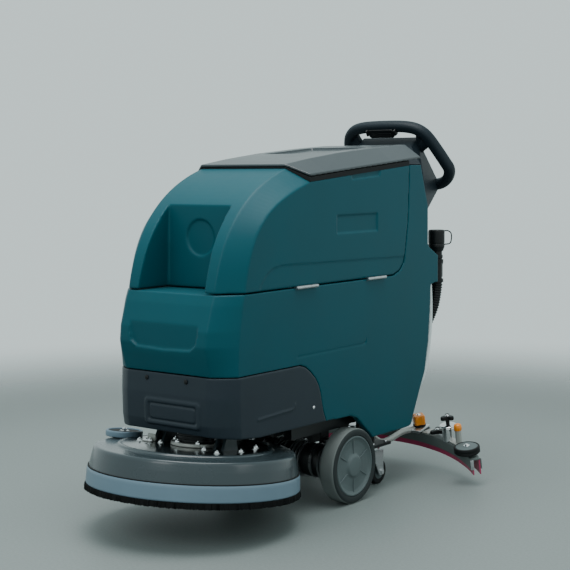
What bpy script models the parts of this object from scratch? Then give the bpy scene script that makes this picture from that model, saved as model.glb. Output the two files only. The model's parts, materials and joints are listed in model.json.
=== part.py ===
"""Walk-behind wet dry floor scrubber, standing with its deck and squeegee raised.

+X is the machine's left side, -Y its front, +Z up.  Pieces are drawn in machine
coordinates, whose y = 0 lies 0.1 m ahead of the drive axle, and the whole machine hangs
from one empty that moves the middle of its length to the world's origin.
A piece that tilts with a joint is drawn level and turned by the joint's empty.
"""
from math import cos, pi, radians, sin, sqrt

import bmesh
import bpy
from mathutils import Matrix, Vector

# ---- driving dimensions, metres and degrees ----
CENTRE_Y = 0.0406                       # middle of the overall length
GAP = 0.0004                            # clearance between touching pieces
HALF_WIDTH = 0.198                      # body side planes
HALF_FACE = 0.146                       # flat nose face, before its chamfers
SPLIT_Z = 0.616                         # top of the lower body
TANK_Z = 0.6192                         # underside of the recovery tank
AXLE = (0.100, 0.1043)                  # drive axle y, z
WHEEL_R, WHEEL_OUT, TYRE_W = 0.1043, 0.2107, 0.050
CASTER_X, CASTER_Y, TRAIL, CASTER_R = 0.125, 0.300, 0.027, 0.0375
DECK_R = 0.2805                         # bristle strip radius
DECK_PIVOT = (-0.3217, 0.2409)          # deck levelling pivot y, z, raised
DECK_PIVOT_H = 0.150                    # its height above the bristle tips
DECK_TILT = 5.73                        # front of the raised deck up
ARM_PIVOT = (-0.030, 0.222)
SQ_PIVOT = (0.289, 0.113)               # squeegee lift pivot y, z
SQ_TILT = 11.4                          # raised squeegee, rear up
SWING_Y = 0.395                         # squeegee swing pin
ARC_Y, ARC_R = 0.0541, 0.551            # squeegee arc centre and channel radius
ARC_HALF = 44.3                         # half of the squeegee's arc
HINGE_X, HINGE_Z = 0.2035, 0.6176       # recovery tank hinge line
HINGES = {"front": (-0.153, -0.062), "rear": (0.171, 0.261)}
HANDLE_TOP = (0.550, 1.062)             # top of the handle loop y, z
HANDLE_LEAN = 33.0                      # loop plane, bottom rearward
LID_SLOPE = 0.0841                      # rise of the lid's side edge per metre

for old in list(bpy.data.objects):
    bpy.data.objects.remove(old, do_unlink=True)


# ---- materials ----
def finish(name, rgb, roughness=0.5, metallic=0.0):
    mat = bpy.data.materials.new(name)
    mat.use_nodes = True
    shader = mat.node_tree.nodes["Principled BSDF"]
    shader.inputs["Base Color"].default_value = (*rgb, 1.0)
    shader.inputs["Roughness"].default_value = roughness
    shader.inputs["Metallic"].default_value = metallic
    return mat


TEAL = finish("teal_plastic", (0.006, 0.085, 0.105), 0.42)
GREY = finish("grey_plastic", (0.045, 0.062, 0.075), 0.50)
DARK = finish("dark_plastic", (0.020, 0.027, 0.033), 0.55)
LID_GREY = finish("lid_plastic", (0.090, 0.110, 0.120), 0.40)
BLACK = finish("black_plastic", (0.010, 0.011, 0.012), 0.50)
RUBBER = finish("black_rubber", (0.015, 0.016, 0.017), 0.80)
TYRE_GREY = finish("tyre_rubber", (0.080, 0.095, 0.100), 0.75)
HUB_GREY = finish("hub_plastic", (0.060, 0.080, 0.085), 0.55)
SKIRT_GREY = finish("skirt_plastic", (0.130, 0.190, 0.230), 0.50)
DECK_GREY = finish("deck_paint", (0.075, 0.105, 0.120), 0.30)
BRISTLE = finish("bristle", (0.010, 0.012, 0.012), 0.90)
STEEL = finish("steel", (0.45, 0.46, 0.47), 0.30, 1.0)
FRAME = finish("frame_paint", (0.020, 0.022, 0.024), 0.45, 0.3)
CAST = finish("cast_alloy", (0.30, 0.31, 0.32), 0.45, 1.0)
BLADE = finish("red_blade", (0.280, 0.030, 0.060), 0.45)
ORANGE = finish("orange_plastic", (0.750, 0.230, 0.020), 0.40)
RED = finish("red_plastic", (0.500, 0.020, 0.015), 0.40)

# ---- joints: one empty each, on the joint's axis ----
EMPTIES = {}
DRAWN_FROM = {}


def joint(name, at, under=None, tilt=0.0):
    empty = bpy.data.objects.new(f"{name}_axis", None)
    bpy.context.collection.objects.link(empty)
    if under:
        empty.parent = EMPTIES[under]
        empty.location = Vector(at) - DRAWN_FROM[under]
        empty.rotation_euler.x = radians(tilt)
        DRAWN_FROM[name] = Vector(at)
    else:
        empty.location = Vector(at)
        DRAWN_FROM[name] = Vector()
    EMPTIES[name] = empty


# ---- mesh makers: each returns a bmesh in machine coordinates ----
def shape(points, faces):
    bm = bmesh.new()
    verts = [bm.verts.new(p) for p in points]
    for face in faces:
        bm.faces.new([verts[i] for i in face])
    return bm


def block(low, high, bevel=0.0):
    bm = bmesh.new()
    bmesh.ops.create_cube(bm, size=1.0)
    low, high = Vector(low), Vector(high)
    bmesh.ops.scale(bm, vec=high - low, verts=bm.verts)
    bmesh.ops.translate(bm, vec=(low + high) / 2, verts=bm.verts)
    if bevel:
        bmesh.ops.bevel(bm, geom=bm.edges, offset=bevel, segments=1, affect="EDGES")
    return bm


def prism(outline, low_x, high_x):
    """A side outline of (y, z) points, extruded across the machine."""
    n = len(outline)
    points = [(x, y, z) for x in (low_x, high_x) for y, z in outline]
    faces = [[i, (i + 1) % n, n + (i + 1) % n, n + i] for i in range(n)]
    return shape(points, faces + [list(range(n)), list(range(n, 2 * n))])


def chamfered(middle, side, half_face, half_width):
    """A side outline that changes from middle, across the flat face, to side at the sides."""
    n = len(middle)
    rows = ((-half_width, side), (-half_face, middle), (half_face, middle), (half_width, side))
    points = [(x, y, z) for x, outline in rows for y, z in outline]
    faces = [[i, (i + 1) % n, n + (i + 1) % n, n + i] for i in range(n)]
    faces = [[k + row * n for k in face] for row in range(3) for face in faces]
    return shape(points, faces + [list(range(n)), list(range(3 * n, 4 * n))])


def turned(profile, sides=32, at=(0, 0, 0), axis="Z", ring=False):
    """A profile of (radius, height) points turned about an axis through at."""
    points, rings = [], []
    for radius, height in profile:
        if radius == 0:
            rings.append([len(points)])
            points.append((0, 0, height))
            continue
        rings.append([len(points) + k for k in range(sides)])
        for k in range(sides):
            angle = 2 * pi * k / sides
            points.append((radius * cos(angle), radius * sin(angle), height))
    if ring:
        rings.append(rings[0])
    faces = []
    for lower, upper in zip(rings, rings[1:]):
        for k in range(sides):
            nxt = (k + 1) % sides
            quad = [lower[k % len(lower)], lower[nxt % len(lower)],
                    upper[nxt % len(upper)], upper[k % len(upper)]]
            faces.append(list(dict.fromkeys(quad)))
    if not ring:
        faces += [end for end in (rings[0], rings[-1]) if len(end) > 1]
    bm = shape(points, faces)
    turn = {"Z": Matrix(), "X": Matrix.Rotation(pi / 2, 4, "Y"),
            "Y": Matrix.Rotation(-pi / 2, 4, "X")}[axis]
    bmesh.ops.transform(bm, matrix=Matrix.Translation(at) @ turn, verts=bm.verts)
    return bm


def arc_bar(inner, outer, low, high, steps=24, half=ARC_HALF):
    """A bar bent to the squeegee's arc, between two radii and two heights."""
    points = []
    for k in range(steps + 1):
        angle = radians(-half + 2 * half * k / steps)
        for radius, z in ((inner, low), (outer, low), (outer, high), (inner, high)):
            points.append((radius * sin(angle), ARC_Y + radius * cos(angle), z))
    faces = [[4 * k + j, 4 * k + (j + 1) % 4, 4 * k + 4 + (j + 1) % 4, 4 * k + 4 + j]
             for k in range(steps) for j in range(4)]
    return shape(points, faces + [[0, 1, 2, 3], [4 * steps + j for j in range(4)]])


def lobed(lobes, inner, outer, low, high, at, steps=8):
    """A knob whose rim swells into rounded lobes."""
    sides = lobes * steps
    points = []
    for z in (low, high):
        for k in range(sides):
            angle = 2 * pi * k / sides
            radius = inner + (outer - inner) * (0.5 + 0.5 * cos(lobes * angle)) ** 1.5
            points.append((at[0] + radius * cos(angle), at[1] + radius * sin(angle), z))
    faces = [[k, (k + 1) % sides, sides + (k + 1) % sides, sides + k] for k in range(sides)]
    return shape(points, faces + [list(range(sides)), list(range(sides, 2 * sides))])


def smooth_route(points, spacing):
    """Points at an even spacing along a Catmull-Rom curve through the given ones."""
    points = [Vector(p) for p in points]
    ends = [2 * points[0] - points[1]] + points + [2 * points[-1] - points[-2]]
    fine = []
    for a, b, c, d in zip(ends, ends[1:], ends[2:], ends[3:]):
        for k in range(20):
            t = k / 20
            fine.append(0.5 * (2 * b + (c - a) * t + (2 * a - 5 * b + 4 * c - d) * t ** 2
                               + (3 * b - a - 3 * c + d) * t ** 3))
    fine.append(points[-1])
    route, walked = [fine[0]], 0.0
    for a, b in zip(fine, fine[1:]):
        walked += (b - a).length
        if walked >= spacing:
            route.append(b)
            walked = 0.0
    route[-1] = fine[-1]
    return route


def hose(points, radius, sides=12, spacing=0.03):
    """A round tube along a smooth route, with flat ends."""
    route = smooth_route(points, spacing)
    rings, normal = [], Vector((1, 0, 0))
    for i, p in enumerate(route):
        ahead = (route[min(i + 1, len(route) - 1)] - route[max(i - 1, 0)]).normalized()
        normal = (normal - ahead * normal.dot(ahead)).normalized()
        other = ahead.cross(normal)
        rings += [p + radius * (normal * cos(2 * pi * k / sides) + other * sin(2 * pi * k / sides))
                  for k in range(sides)]
    last = len(rings) - sides
    faces = [[row + k, row + (k + 1) % sides, row + sides + (k + 1) % sides, row + sides + k]
             for row in range(0, last, sides) for k in range(sides)]
    return shape(rings, faces + [list(range(sides)), list(range(last, last + sides))])


# ---- objects ----
def place(name, bm, under):
    bmesh.ops.recalc_face_normals(bm, faces=bm.faces)
    mesh = bpy.data.meshes.new(name)
    bm.to_mesh(mesh)
    bm.free()
    obj = bpy.data.objects.new(name, mesh)
    bpy.context.collection.objects.link(obj)
    obj.parent = EMPTIES[under]
    obj.location = -DRAWN_FROM[under]
    return obj


def piece(name, bm, mat, under, smooth=True):
    obj = place(name, bm, under)
    obj.data.materials.append(mat)
    if smooth:
        obj.data.shade_smooth()
        obj.data.set_sharp_from_angle(angle=radians(35))
    return obj


def combine(obj, bm, under, operation):
    """Boolean of an object with a hidden tool."""
    tool = place(f"{obj.name}_tool_{len(obj.modifiers)}", bm, under)
    tool.hide_render = True
    tool.display_type = "WIRE"
    boolean = obj.modifiers.new("boolean", "BOOLEAN")
    boolean.operation = operation
    boolean.object = tool
    return obj


def cut(obj, bm, under):
    return combine(obj, bm, under, "DIFFERENCE")


def fuse(obj, bm, under):
    return combine(obj, bm, under, "UNION")


# ---- outlines of the body ----
def bezier(a, b, c, d, steps):
    points = []
    for k in range(steps + 1):
        t = k / steps
        points.append(tuple((1 - t) ** 3 * p + 3 * t * (1 - t) ** 2 * q
                            + 3 * t ** 2 * (1 - t) * r + t ** 3 * s
                            for p, q, r, s in zip(a, b, c, d)))
    return points


def shoulder_z(y):
    """Height of the recovery tank's side edge, where the lid's rim rests."""
    return 0.889 + LID_SLOPE * (y + 0.085)


NOSE_MIDDLE = bezier((-0.411, TANK_Z), (-0.379, 0.792), (-0.267, 0.8816), (-0.124, 0.9245), 10)
NOSE_SIDE = bezier((-0.355, TANK_Z), (-0.3233, 0.798), (-0.2474, 0.8387), (-0.085, 0.889), 10)
RIDGE = [(-0.124, 0.9365), (-0.020, 0.9515), (0.120, 0.9675), (0.300, 0.9820), (0.452, 0.9910)]
LID_T = 0.0120                          # lid over the tank's top
RIM_GAP = 0.0010                        # clearance of the lid's rubber rim on the tank's slopes
SEAM = [(0.3940, 0.9290), (0.3860, 0.7730), (0.3650, 0.6520), (0.3450, 0.6310), (0.3120, TANK_Z)]


def make_recovery_tank():
    top_middle = [(y, z - LID_T) for y, z in RIDGE[1:4]] + [(0.394, 0.9755)]
    top_side = [(y, shoulder_z(y)) for y, _ in RIDGE[1:4]] + [(0.394, shoulder_z(0.394))]
    middle = NOSE_MIDDLE + top_middle + SEAM[1:]
    side = NOSE_SIDE + top_side + SEAM[1:]
    tank = piece("recovery_tank", chamfered(middle, side, HALF_FACE, HALF_WIDTH), TEAL, "tank")
    wall = 0.009
    inner_nose = bezier((-0.401, TANK_Z + wall), (-0.369, 0.788), (-0.262, 0.872), (-0.120, 0.9120), 8)
    inner_side = bezier((-0.346, TANK_Z + wall), (-0.314, 0.794), (-0.242, 0.829), (-0.082, 0.8780), 8)
    rear = [(0.3765, 0.773), (0.3560, 0.655), (0.3400, 0.640), (0.3120, TANK_Z + wall)]
    inside = inner_nose + [(0.384, 0.962)] + rear
    inside_flank = inner_side + [(0.384, 0.917)] + rear
    cavity = place("recovery_tank_cavity", chamfered(inside, inside_flank, 0.142, 0.189), "tank")
    cut(cavity, block((-0.124, -0.50, 0.55), (0.124, -0.285, 0.846)), "tank")
    cavity.hide_render = True
    cavity.display_type = "WIRE"
    hollow = tank.modifiers.new("hollow", "BOOLEAN")
    hollow.object = cavity
    cut(tank, block((-0.115, -0.060, 0.880), (0.115, 0.340, 1.05)), "tank")
    pocket = [(-0.115, -0.50, 0.60), (-0.115, -0.295, 0.60), (-0.107, -0.295, 0.95),
              (-0.107, -0.50, 0.95), (0.115, -0.50, 0.60), (0.115, -0.295, 0.60),
              (0.107, -0.295, 0.95), (0.107, -0.50, 0.95)]
    sides = [[0, 1, 2, 3], [4, 5, 6, 7], [0, 1, 5, 4], [1, 2, 6, 5], [2, 3, 7, 6], [3, 0, 4, 7]]
    cut(tank, shape(pocket, sides), "tank")


def make_lid():
    """Saddle lid over the tank's top and flanks, with a rubber rim under it."""
    top = RIDGE
    low = [(y, z - LID_T + 0.0056) for y, z in RIDGE]
    ys = [-0.085] + [y for y, _ in RIDGE[1:]]
    side_low = [(y, shoulder_z(y) + 0.0148) for y in ys]
    side_top = [(y, shoulder_z(y) + 0.0210) for y in ys]
    piece("lid", chamfered(low + top[::-1], side_low + side_top[::-1], HALF_FACE, 0.199),
          LID_GREY, "lid")
    rim_low = [(y, z - LID_T + RIM_GAP) for y, z in RIDGE[:4]] + [(0.3935, 0.9755 + RIM_GAP)]
    rim_top = [(y, z + 0.0028) for y, z in rim_low]
    ys = [-0.085, RIDGE[1][0], RIDGE[2][0], RIDGE[3][0], 0.3935]
    side_low = [(y, shoulder_z(y) + RIM_GAP) for y in ys]
    side_top = [(y, shoulder_z(y) + 0.0122) for y in ys]
    rim = piece("lid_gasket", chamfered(rim_low + rim_top[::-1], side_low + side_top[::-1],
                                        HALF_FACE, HALF_WIDTH), RUBBER, "tank")
    cut(rim, block((-0.128, -0.100, 0.80), (0.128, 0.375, 1.1)), "tank")


COVER_REAR = [(-0.134, 0.412), (-0.111, 0.4050), (-0.089, 0.390), (-0.067, 0.3700),
              (-0.054, 0.351), (-0.045, 0.3280), (-0.041, 0.309), (-0.033, 0.2770),
              (-0.0210, 0.249)]


def make_solution_tank():
    """Lower body: nose, battery bay and rear column in one moulding."""
    front_middle = [(-0.426, 0.4136), (-0.440, 0.461), (-0.446, 0.488), (-0.442, 0.527),
                    (-0.422, 0.590), (-0.411, SPLIT_Z)]
    front_side = [(-0.386, 0.4136), (-0.383, 0.461), (-0.381, 0.488), (-0.376, 0.527),
                  (-0.364, 0.590), (-0.355, SPLIT_Z)]
    seam = [(0.3125, SPLIT_Z), (0.3470, 0.6285), (0.3675, 0.6510), (0.3885, 0.7730),
            (0.3965, 0.9310)]
    rear_side = [(0.456, 0.931), (0.495, 0.813), (0.497, 0.760), (0.495, 0.700), (0.505, 0.688),
                 (0.552, 0.662), (0.552, 0.582), (0.513, 0.577), (0.511, 0.530), (0.499, 0.411),
                 (0.480, 0.323), (0.436, 0.239), (0.403, 0.169)]
    rear_middle = [(y + 0.014, z) for y, z in rear_side[:-1]] + [rear_side[-1]]
    bottom = [(0.371, 0.1655), (0.204, 0.1655), (0.194, 0.177), (0.160, 0.205), (0.130, 0.232),
              (0.101, 0.243), (-0.0180, 0.2475)]
    # the same curve as the cover's rear edge, stepped back by a shadow gap
    notch = [(y + 0.0016, z + 0.0016) for y, z in COVER_REAR[::-1]]
    middle = front_middle + seam + rear_middle + bottom + notch
    side = front_side + seam + rear_side + bottom + notch
    body = piece("solution_tank", chamfered(middle, side, HALF_FACE, HALF_WIDTH), TEAL, "machine")
    cut(body, block((-0.165, -0.185, 0.258), (0.165, 0.318, 0.75)), "machine")
    nose_hollow = [(-0.405, 0.400), (-0.424, 0.488), (-0.420, 0.530), (-0.396, 0.604),
                   (-0.205, 0.604), (-0.205, 0.400)]
    cut(body, prism(nose_hollow, -0.135, 0.135), "machine")
    column = [(0.4085, 0.97), (0.447, 0.97), (0.452, 0.925), (0.486, 0.810), (0.487, 0.700),
              (0.512, 0.685), (0.544, 0.655), (0.544, 0.590), (0.503, 0.586), (0.499, 0.530),
              (0.487, 0.411), (0.468, 0.323), (0.430, 0.262), (0.334, 0.262), (0.334, 0.600),
              (0.378, 0.655), (0.400, 0.773)]
    cut(body, prism(column, -0.175, 0.175), "machine")
    cut(body, block((-0.180, 0.075, 0.10), (0.180, 0.394, 0.249)), "machine")


def make_front_cover():
    """Wrap-round shell below the nose, open above, below and behind."""
    front_middle = [(-0.427, 0.262), (-0.432, 0.290), (-0.433, 0.360), (-0.430, 0.412)]
    front_side = [(-0.376, 0.258), (-0.380, 0.290), (-0.381, 0.360), (-0.380, 0.412)]
    bottom = [(-0.300, 0.250)]
    cover = piece("front_cover", chamfered(front_middle + COVER_REAR + bottom,
                                           front_side + COVER_REAR + bottom,
                                           HALF_FACE + 0.001, HALF_WIDTH + 0.002), GREY, "machine")
    inner_middle = [(-0.4255, 0.20), (-0.4255, 0.50), (0.05, 0.50), (0.05, 0.20)]
    inner_side = [(-0.3735, 0.20), (-0.3735, 0.50), (0.05, 0.50), (0.05, 0.20)]
    cut(cover, chamfered(inner_middle, inner_side, HALF_FACE - 0.003, HALF_WIDTH - 0.006), "machine")
    for side, label in ((1, "left"), (-1, "right")):
        head = turned([(0.0062, 0), (0.0062, 0.0012), (0.0035, 0.0034), (0, 0.0036)], 12,
                      (0.067 * side, -0.4317, 0.397), "Y")
        bmesh.ops.rotate(head, cent=(0.067 * side, -0.4317, 0.397),
                         matrix=Matrix.Rotation(pi + radians(2.2), 3, "X"), verts=head.verts)
        piece(f"cover_screw_{label}", head, STEEL, "machine")


def make_chassis():
    rail_top, plate_low = 0.2418, 0.2080
    frame = piece("chassis_frame", block((-0.150, 0.123, plate_low), (0.150, 0.385, rail_top)),
                  FRAME, "machine", smooth=False)
    fuse(frame, block((-0.130, 0.003, 0.2120), (0.130, 0.030, rail_top)), "machine")
    fuse(frame, block((-0.130, 0.075, 0.2060), (0.130, 0.1235, rail_top)), "machine")
    for side in (1, -1):
        beams = {"rail": ((0.125, -0.110, 0.204), (0.150, 0.1235, rail_top)),
                 "arm_lug": ((0.112, -0.045, 0.206), (0.130, -0.015, 0.235)),
                 "axle_hanger": ((0.060, 0.080, 0.1555), (0.075, 0.120, 0.2065)),
                 "caster_post": ((0.100, 0.260, 0.127), (0.110, 0.340, 0.2085)),
                 "caster_plate": ((0.080, 0.255, 0.1195), (0.166, 0.345, 0.1275)),
                 "squeegee_lug": ((0.032, 0.270, 0.098), (0.040, 0.308, 0.2085))}
        for low, high in beams.values():
            near, far = sorted((low[0] * side, high[0] * side))
            fuse(frame, block((near, *low[1:]), (far, *high[1:])), "machine")


def make_inside():
    for side, label in ((1, "left"), (-1, "right")):
        low_x, high_x = sorted((0.004 * side, 0.160 * side))
        case = piece(f"battery_{label}", block((low_x, 0.060, 0.2585), (high_x, 0.312, 0.470), 0.003),
                     BLACK, "machine", smooth=False)
        for y in (0.100, 0.272):
            post = turned([(0.009, 0.4695), (0.009, 0.484), (0, 0.484)], 10, (0.082 * side, y, 0))
            fuse(case, post, "machine")
    motor = [(0.060, 0.2585), (0.060, 0.340), (0.078, 0.345), (0.078, 0.405), (0.050, 0.420),
             (0.020, 0.425), (0, 0.425)]
    piece("vacuum_motor", turned(motor, 20, (0, -0.095, 0)), CAST, "machine")
    half = [(0.012, 0.1580), (0.012, 0.1520), (0.030, 0.1520), (0.030, 0.1430), (0.055, 0.1430),
            (0.058, 0.1380), (0.058, 0.1220), (0.052, 0.1180), (0.052, 0.1060), (0.047, 0.1030)]
    profile = half + [(r, -x) for r, x in half[::-1]]
    piece("transaxle", turned(profile, 24, (0, *AXLE), "X"), CAST, "machine")
    basket = [(0.040, 0.6400), (0.040, 0.6450), (0.034, 0.6450), (0.034, 0.7600), (0.026, 0.7600),
              (0.026, 0.6400)]
    piece("float_cage", turned(basket, 14, (0.060, 0.250, -0.0112), ring=True), BLACK, "tank")


def make_hinges():
    knuckle, inner_x, edge = 0.0045, 0.168, HINGE_X - 0.0075
    for label, (start, end) in HINGES.items():
        third = (end - start) / 3
        lower = piece(f"hinge_leaf_{label}",
                      block((inner_x, start + 0.002, 0.61635), (HINGE_X - 0.002, end - 0.002, 0.61735)),
                      STEEL, "machine")
        for low, high in ((start - 0.01, start + third + GAP), (end - third - GAP, end + 0.01)):
            cut(lower, block((edge, low, 0.60), (HINGE_X + 0.01, high, 0.63)), "machine")
        barrel = [(knuckle, start + third + GAP), (knuckle, end - third - GAP)]
        fuse(lower, turned(barrel, 14, (HINGE_X, 0, HINGE_Z), "Y"), "machine")
        pin = [(0.0022, start - 0.0015), (0.0022, end + 0.0015)]
        fuse(lower, turned(pin, 12, (HINGE_X, 0, HINGE_Z), "Y"), "machine")
        upper = piece(f"tank_leaf_{label}",
                      block((inner_x, start + 0.002, 0.61780), (HINGE_X - 0.002, end - 0.002, 0.61880)),
                      STEEL, "tank")
        cut(upper, block((edge, start + third - GAP, 0.60), (HINGE_X + 0.01, end - third + GAP, 0.63)),
            "tank")
        for low, high in ((start, start + third - GAP), (end - third + GAP, end)):
            fuse(upper, turned([(knuckle, low), (knuckle, high)], 14, (HINGE_X, 0, HINGE_Z), "Y"), "tank")
        bore = [(0.0022 + GAP, start - 0.01), (0.0022 + GAP, end + 0.01)]
        cut(upper, turned(bore, 12, (HINGE_X, 0, HINGE_Z), "Y"), "tank")


# ---- handle and console, drawn on the loop's leaning plane ----
LEAN = radians(HANDLE_LEAN)
DOWN = Vector((0, sin(LEAN), -cos(LEAN)))
OUT = Vector((0, cos(LEAN), sin(LEAN)))


def on_loop(x, down, out=0.0):
    """A point on the handle's plane: across, down from its top, and out of it to the rear."""
    return Vector((x, *HANDLE_TOP)) + DOWN * down + OUT * out


def sweep_loop(path, half_depth, half_thick):
    """A rounded bar along a path in the handle's plane."""
    rings, count = [], 8
    for i, (x, s) in enumerate(path):
        ahead = Vector(path[min(i + 1, len(path) - 1)]) - Vector(path[max(i - 1, 0)])
        across = Vector((-ahead.y, ahead.x)).normalized()
        for k in range(count):
            angle = 2 * pi * (k + 0.5) / count
            side, out = half_thick * cos(angle), half_depth * sin(angle)
            rings.append(on_loop(x + across.x * side, s + across.y * side, out))
    last = len(rings) - count
    faces = [[row + k, row + (k + 1) % count, row + count + (k + 1) % count, row + count + k]
             for row in range(0, last, count) for k in range(count)]
    return shape(rings, faces + [list(range(count)), list(range(last, last + count))])


def handle_bars(grow=0.0):
    """The loop, open below, and its two struts, each grown all round."""
    half = [(0.1080 - grow, 0.230), (0.140, 0.219), (0.160, 0.205), (0.173, 0.186), (0.178, 0.165),
            (0.174, 0.140), (0.167, 0.112), (0.158, 0.080), (0.149, 0.060), (0.136, 0.042),
            (0.118, 0.028), (0.095, 0.021), (0.060, 0.017)]
    path = half + [(0, 0.0155)] + [(-x, s) for x, s in half[::-1]]
    bars = [sweep_loop(path, 0.0170 + grow, 0.0165 + grow)]
    for side in (1, -1):
        strut = [(0.145 * side, 0.064), (0.125 * side, 0.078), ((0.090 - grow) * side, 0.102)]
        bars.append(sweep_loop(strut, 0.013 + grow, 0.013 + grow))
    return bars


def make_handle():
    loop, *struts = handle_bars()
    handle = piece("handle", loop, DARK, "machine")
    for strut in struts:
        fuse(handle, strut, "machine")


def console_shape(inset=0.0, foot_out=0.0):
    """Housing between the handle's sides, carried back from the rear column by its neck."""
    points = []
    for y, z in ((0.5150, 0.800 + inset), (0.4750, 0.933 - inset)):
        points += [Vector((side * (0.186 - inset), y - foot_out, z)) for side in (-1, 1)]
    for half, down, out in ((0.1000, 0.066 + inset, inset - 0.034), (0.0980, 0.062 + inset, 0.012 - inset),
                            (0.1185, 0.245 - inset, 0.016 - inset)):
        points += [on_loop(side * (half - inset), down, out) for side in (-1, 1)]
    return shape(points, [[0, 1, 3, 2], [2, 3, 5, 4], [4, 5, 7, 6], [6, 7, 9, 8], [8, 9, 1, 0],
                          [0, 2, 4, 6, 8], [1, 3, 5, 7, 9]])


def make_console():
    console = piece("console", console_shape(), DARK, "machine")
    cut(console, console_shape(0.022, 0.030), "machine")
    for bar in handle_bars(0.0006):
        cut(console, bar, "machine")


def place_on_loop(bm):
    """Move a shape drawn as x across, y out of the plane, z up the plane onto the handle's plane."""
    turn = Matrix.Rotation(LEAN, 4, "X")
    bmesh.ops.transform(bm, matrix=Matrix.Translation((0, *HANDLE_TOP)) @ turn, verts=bm.verts)


def on_panel(bm, name, mat, under):
    place_on_loop(bm)
    return piece(name, bm, mat, under)


PANEL_OUT = 0.0186                      # control panel face behind the handle's plane


def make_controls():
    panel = block((-0.086, 0.0164, -0.225), (0.086, PANEL_OUT, -0.078))
    panel = on_panel(panel, "control_panel", BLACK, "machine")
    face = PANEL_OUT + GAP
    spots = {"key_switch": (-0.058, -0.195), "emergency_stop": (0.055, -0.190),
             "start_button": (-0.055, -0.105), "water_button": (-0.020, -0.105),
             "speed_knob": (0.000, -0.190)}
    for name, (x, z) in spots.items():
        joint(name, on_loop(x, -z, face), "machine")
    for name in ("start_button", "water_button", "emergency_stop"):
        hole = turned([(0.0118, -0.01), (0.0118, 0.01)], 20, (spots[name][0], PANEL_OUT, spots[name][1]), "Y")
        place_on_loop(hole)
        cut(panel, hole, "machine")
    profiles = {"key_switch": [(0.011, 0), (0.011, 0.006), (0.004, 0.006), (0.004, 0.020), (0, 0.020)],
                "emergency_stop": [(0.010, 0), (0.010, 0.010), (0.019, 0.012), (0.019, 0.020),
                                   (0.012, 0.024), (0, 0.024)],
                "start_button": [(0.011, 0), (0.011, 0.006), (0, 0.006)],
                "water_button": [(0.011, 0), (0.011, 0.006), (0, 0.006)],
                "speed_knob": [(0.015, 0), (0.014, 0.014), (0, 0.014)]}
    finishes = {"emergency_stop": RED, "start_button": GREY, "water_button": GREY,
                "speed_knob": DARK, "key_switch": STEEL}
    for name, (x, z) in spots.items():
        on_panel(turned(profiles[name], 16, (x, face, z), "Y"), name, finishes[name], name)
    joint("throttle_paddle", on_loop(0, 0.052, -0.022), "machine")
    paddle = block((-0.060, -0.026, -0.058), (0.060, -0.022, -0.012), 0.001)
    on_panel(paddle, "throttle_paddle", BLACK, "throttle_paddle")


def make_wheels():
    for side, label in ((1, "left"), (-1, "right")):
        name = f"wheel_{label}"
        joint(name, (WHEEL_OUT * side, *AXLE), "machine")
        inner, outer = WHEEL_OUT - TYRE_W, WHEEL_OUT
        bead = 0.0845
        tread = [(bead, inner), (WHEEL_R - 0.006, inner), (WHEEL_R, inner + 0.007),
                 (WHEEL_R, outer - 0.007), (WHEEL_R - 0.006, outer), (bead, outer - 0.003)]
        rim = [(0, inner - 0.002), (0.030, inner - 0.002), (0.030, inner + 0.010),
               (bead - GAP, inner + 0.010), (bead - GAP, outer - 0.004), (0.076, outer - 0.004),
               (0.072, outer - 0.009), (0.030, outer - 0.007), (0.026, outer - 0.001),
               (0.010, outer), (0, outer)]
        flip = [(r, x * side) for r, x in tread]
        piece(f"tyre_{label}", turned(flip, 40, (0, *AXLE), "X", ring=True), TYRE_GREY, name)
        flip = [(r, x * side) for r, x in rim]
        piece(f"hub_{label}", turned(flip, 40, (0, *AXLE), "X"), HUB_GREY, name)


def make_casters():
    for side, label in ((1, "left"), (-1, "right")):
        x = CASTER_X * side
        joint(f"caster_{label}", (x, CASTER_Y, 0.119), "machine")
        joint(f"caster_wheel_{label}", (x, CASTER_Y + TRAIL, CASTER_R), f"caster_{label}")
        fork = piece(f"caster_fork_{label}",
                     turned([(0.026, 0.1190), (0.026, 0.1060), (0.020, 0.1000), (0, 0.1000)], 20,
                            (x, CASTER_Y, 0)), STEEL, f"caster_{label}")
        fuse(fork, block((x - 0.0205, CASTER_Y - 0.018, 0.0850), (x + 0.0205, CASTER_Y + 0.036, 0.1020)),
             f"caster_{label}")
        for cheek in (-1, 1):
            low_x, high_x = sorted((x + cheek * 0.0160, x + cheek * 0.0204))
            leg = [(CASTER_Y - 0.016, 0.086), (CASTER_Y + 0.035, 0.086),
                   (CASTER_Y + TRAIL + 0.010, 0.0280), (CASTER_Y + TRAIL - 0.010, 0.0280)]
            fuse(fork, prism(leg, low_x, high_x), f"caster_{label}")
        half = [(0, -0.0125), (0.020, -0.0125), (0.030, -0.0110), (CASTER_R - 0.002, -0.0110),
                (CASTER_R, -0.009)]
        tread = half + [(r, -across) for r, across in half[::-1]]
        piece(f"caster_wheel_{label}",
              turned(tread, 24, (x, CASTER_Y + TRAIL, CASTER_R), "X"), RUBBER, f"caster_wheel_{label}")


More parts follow.
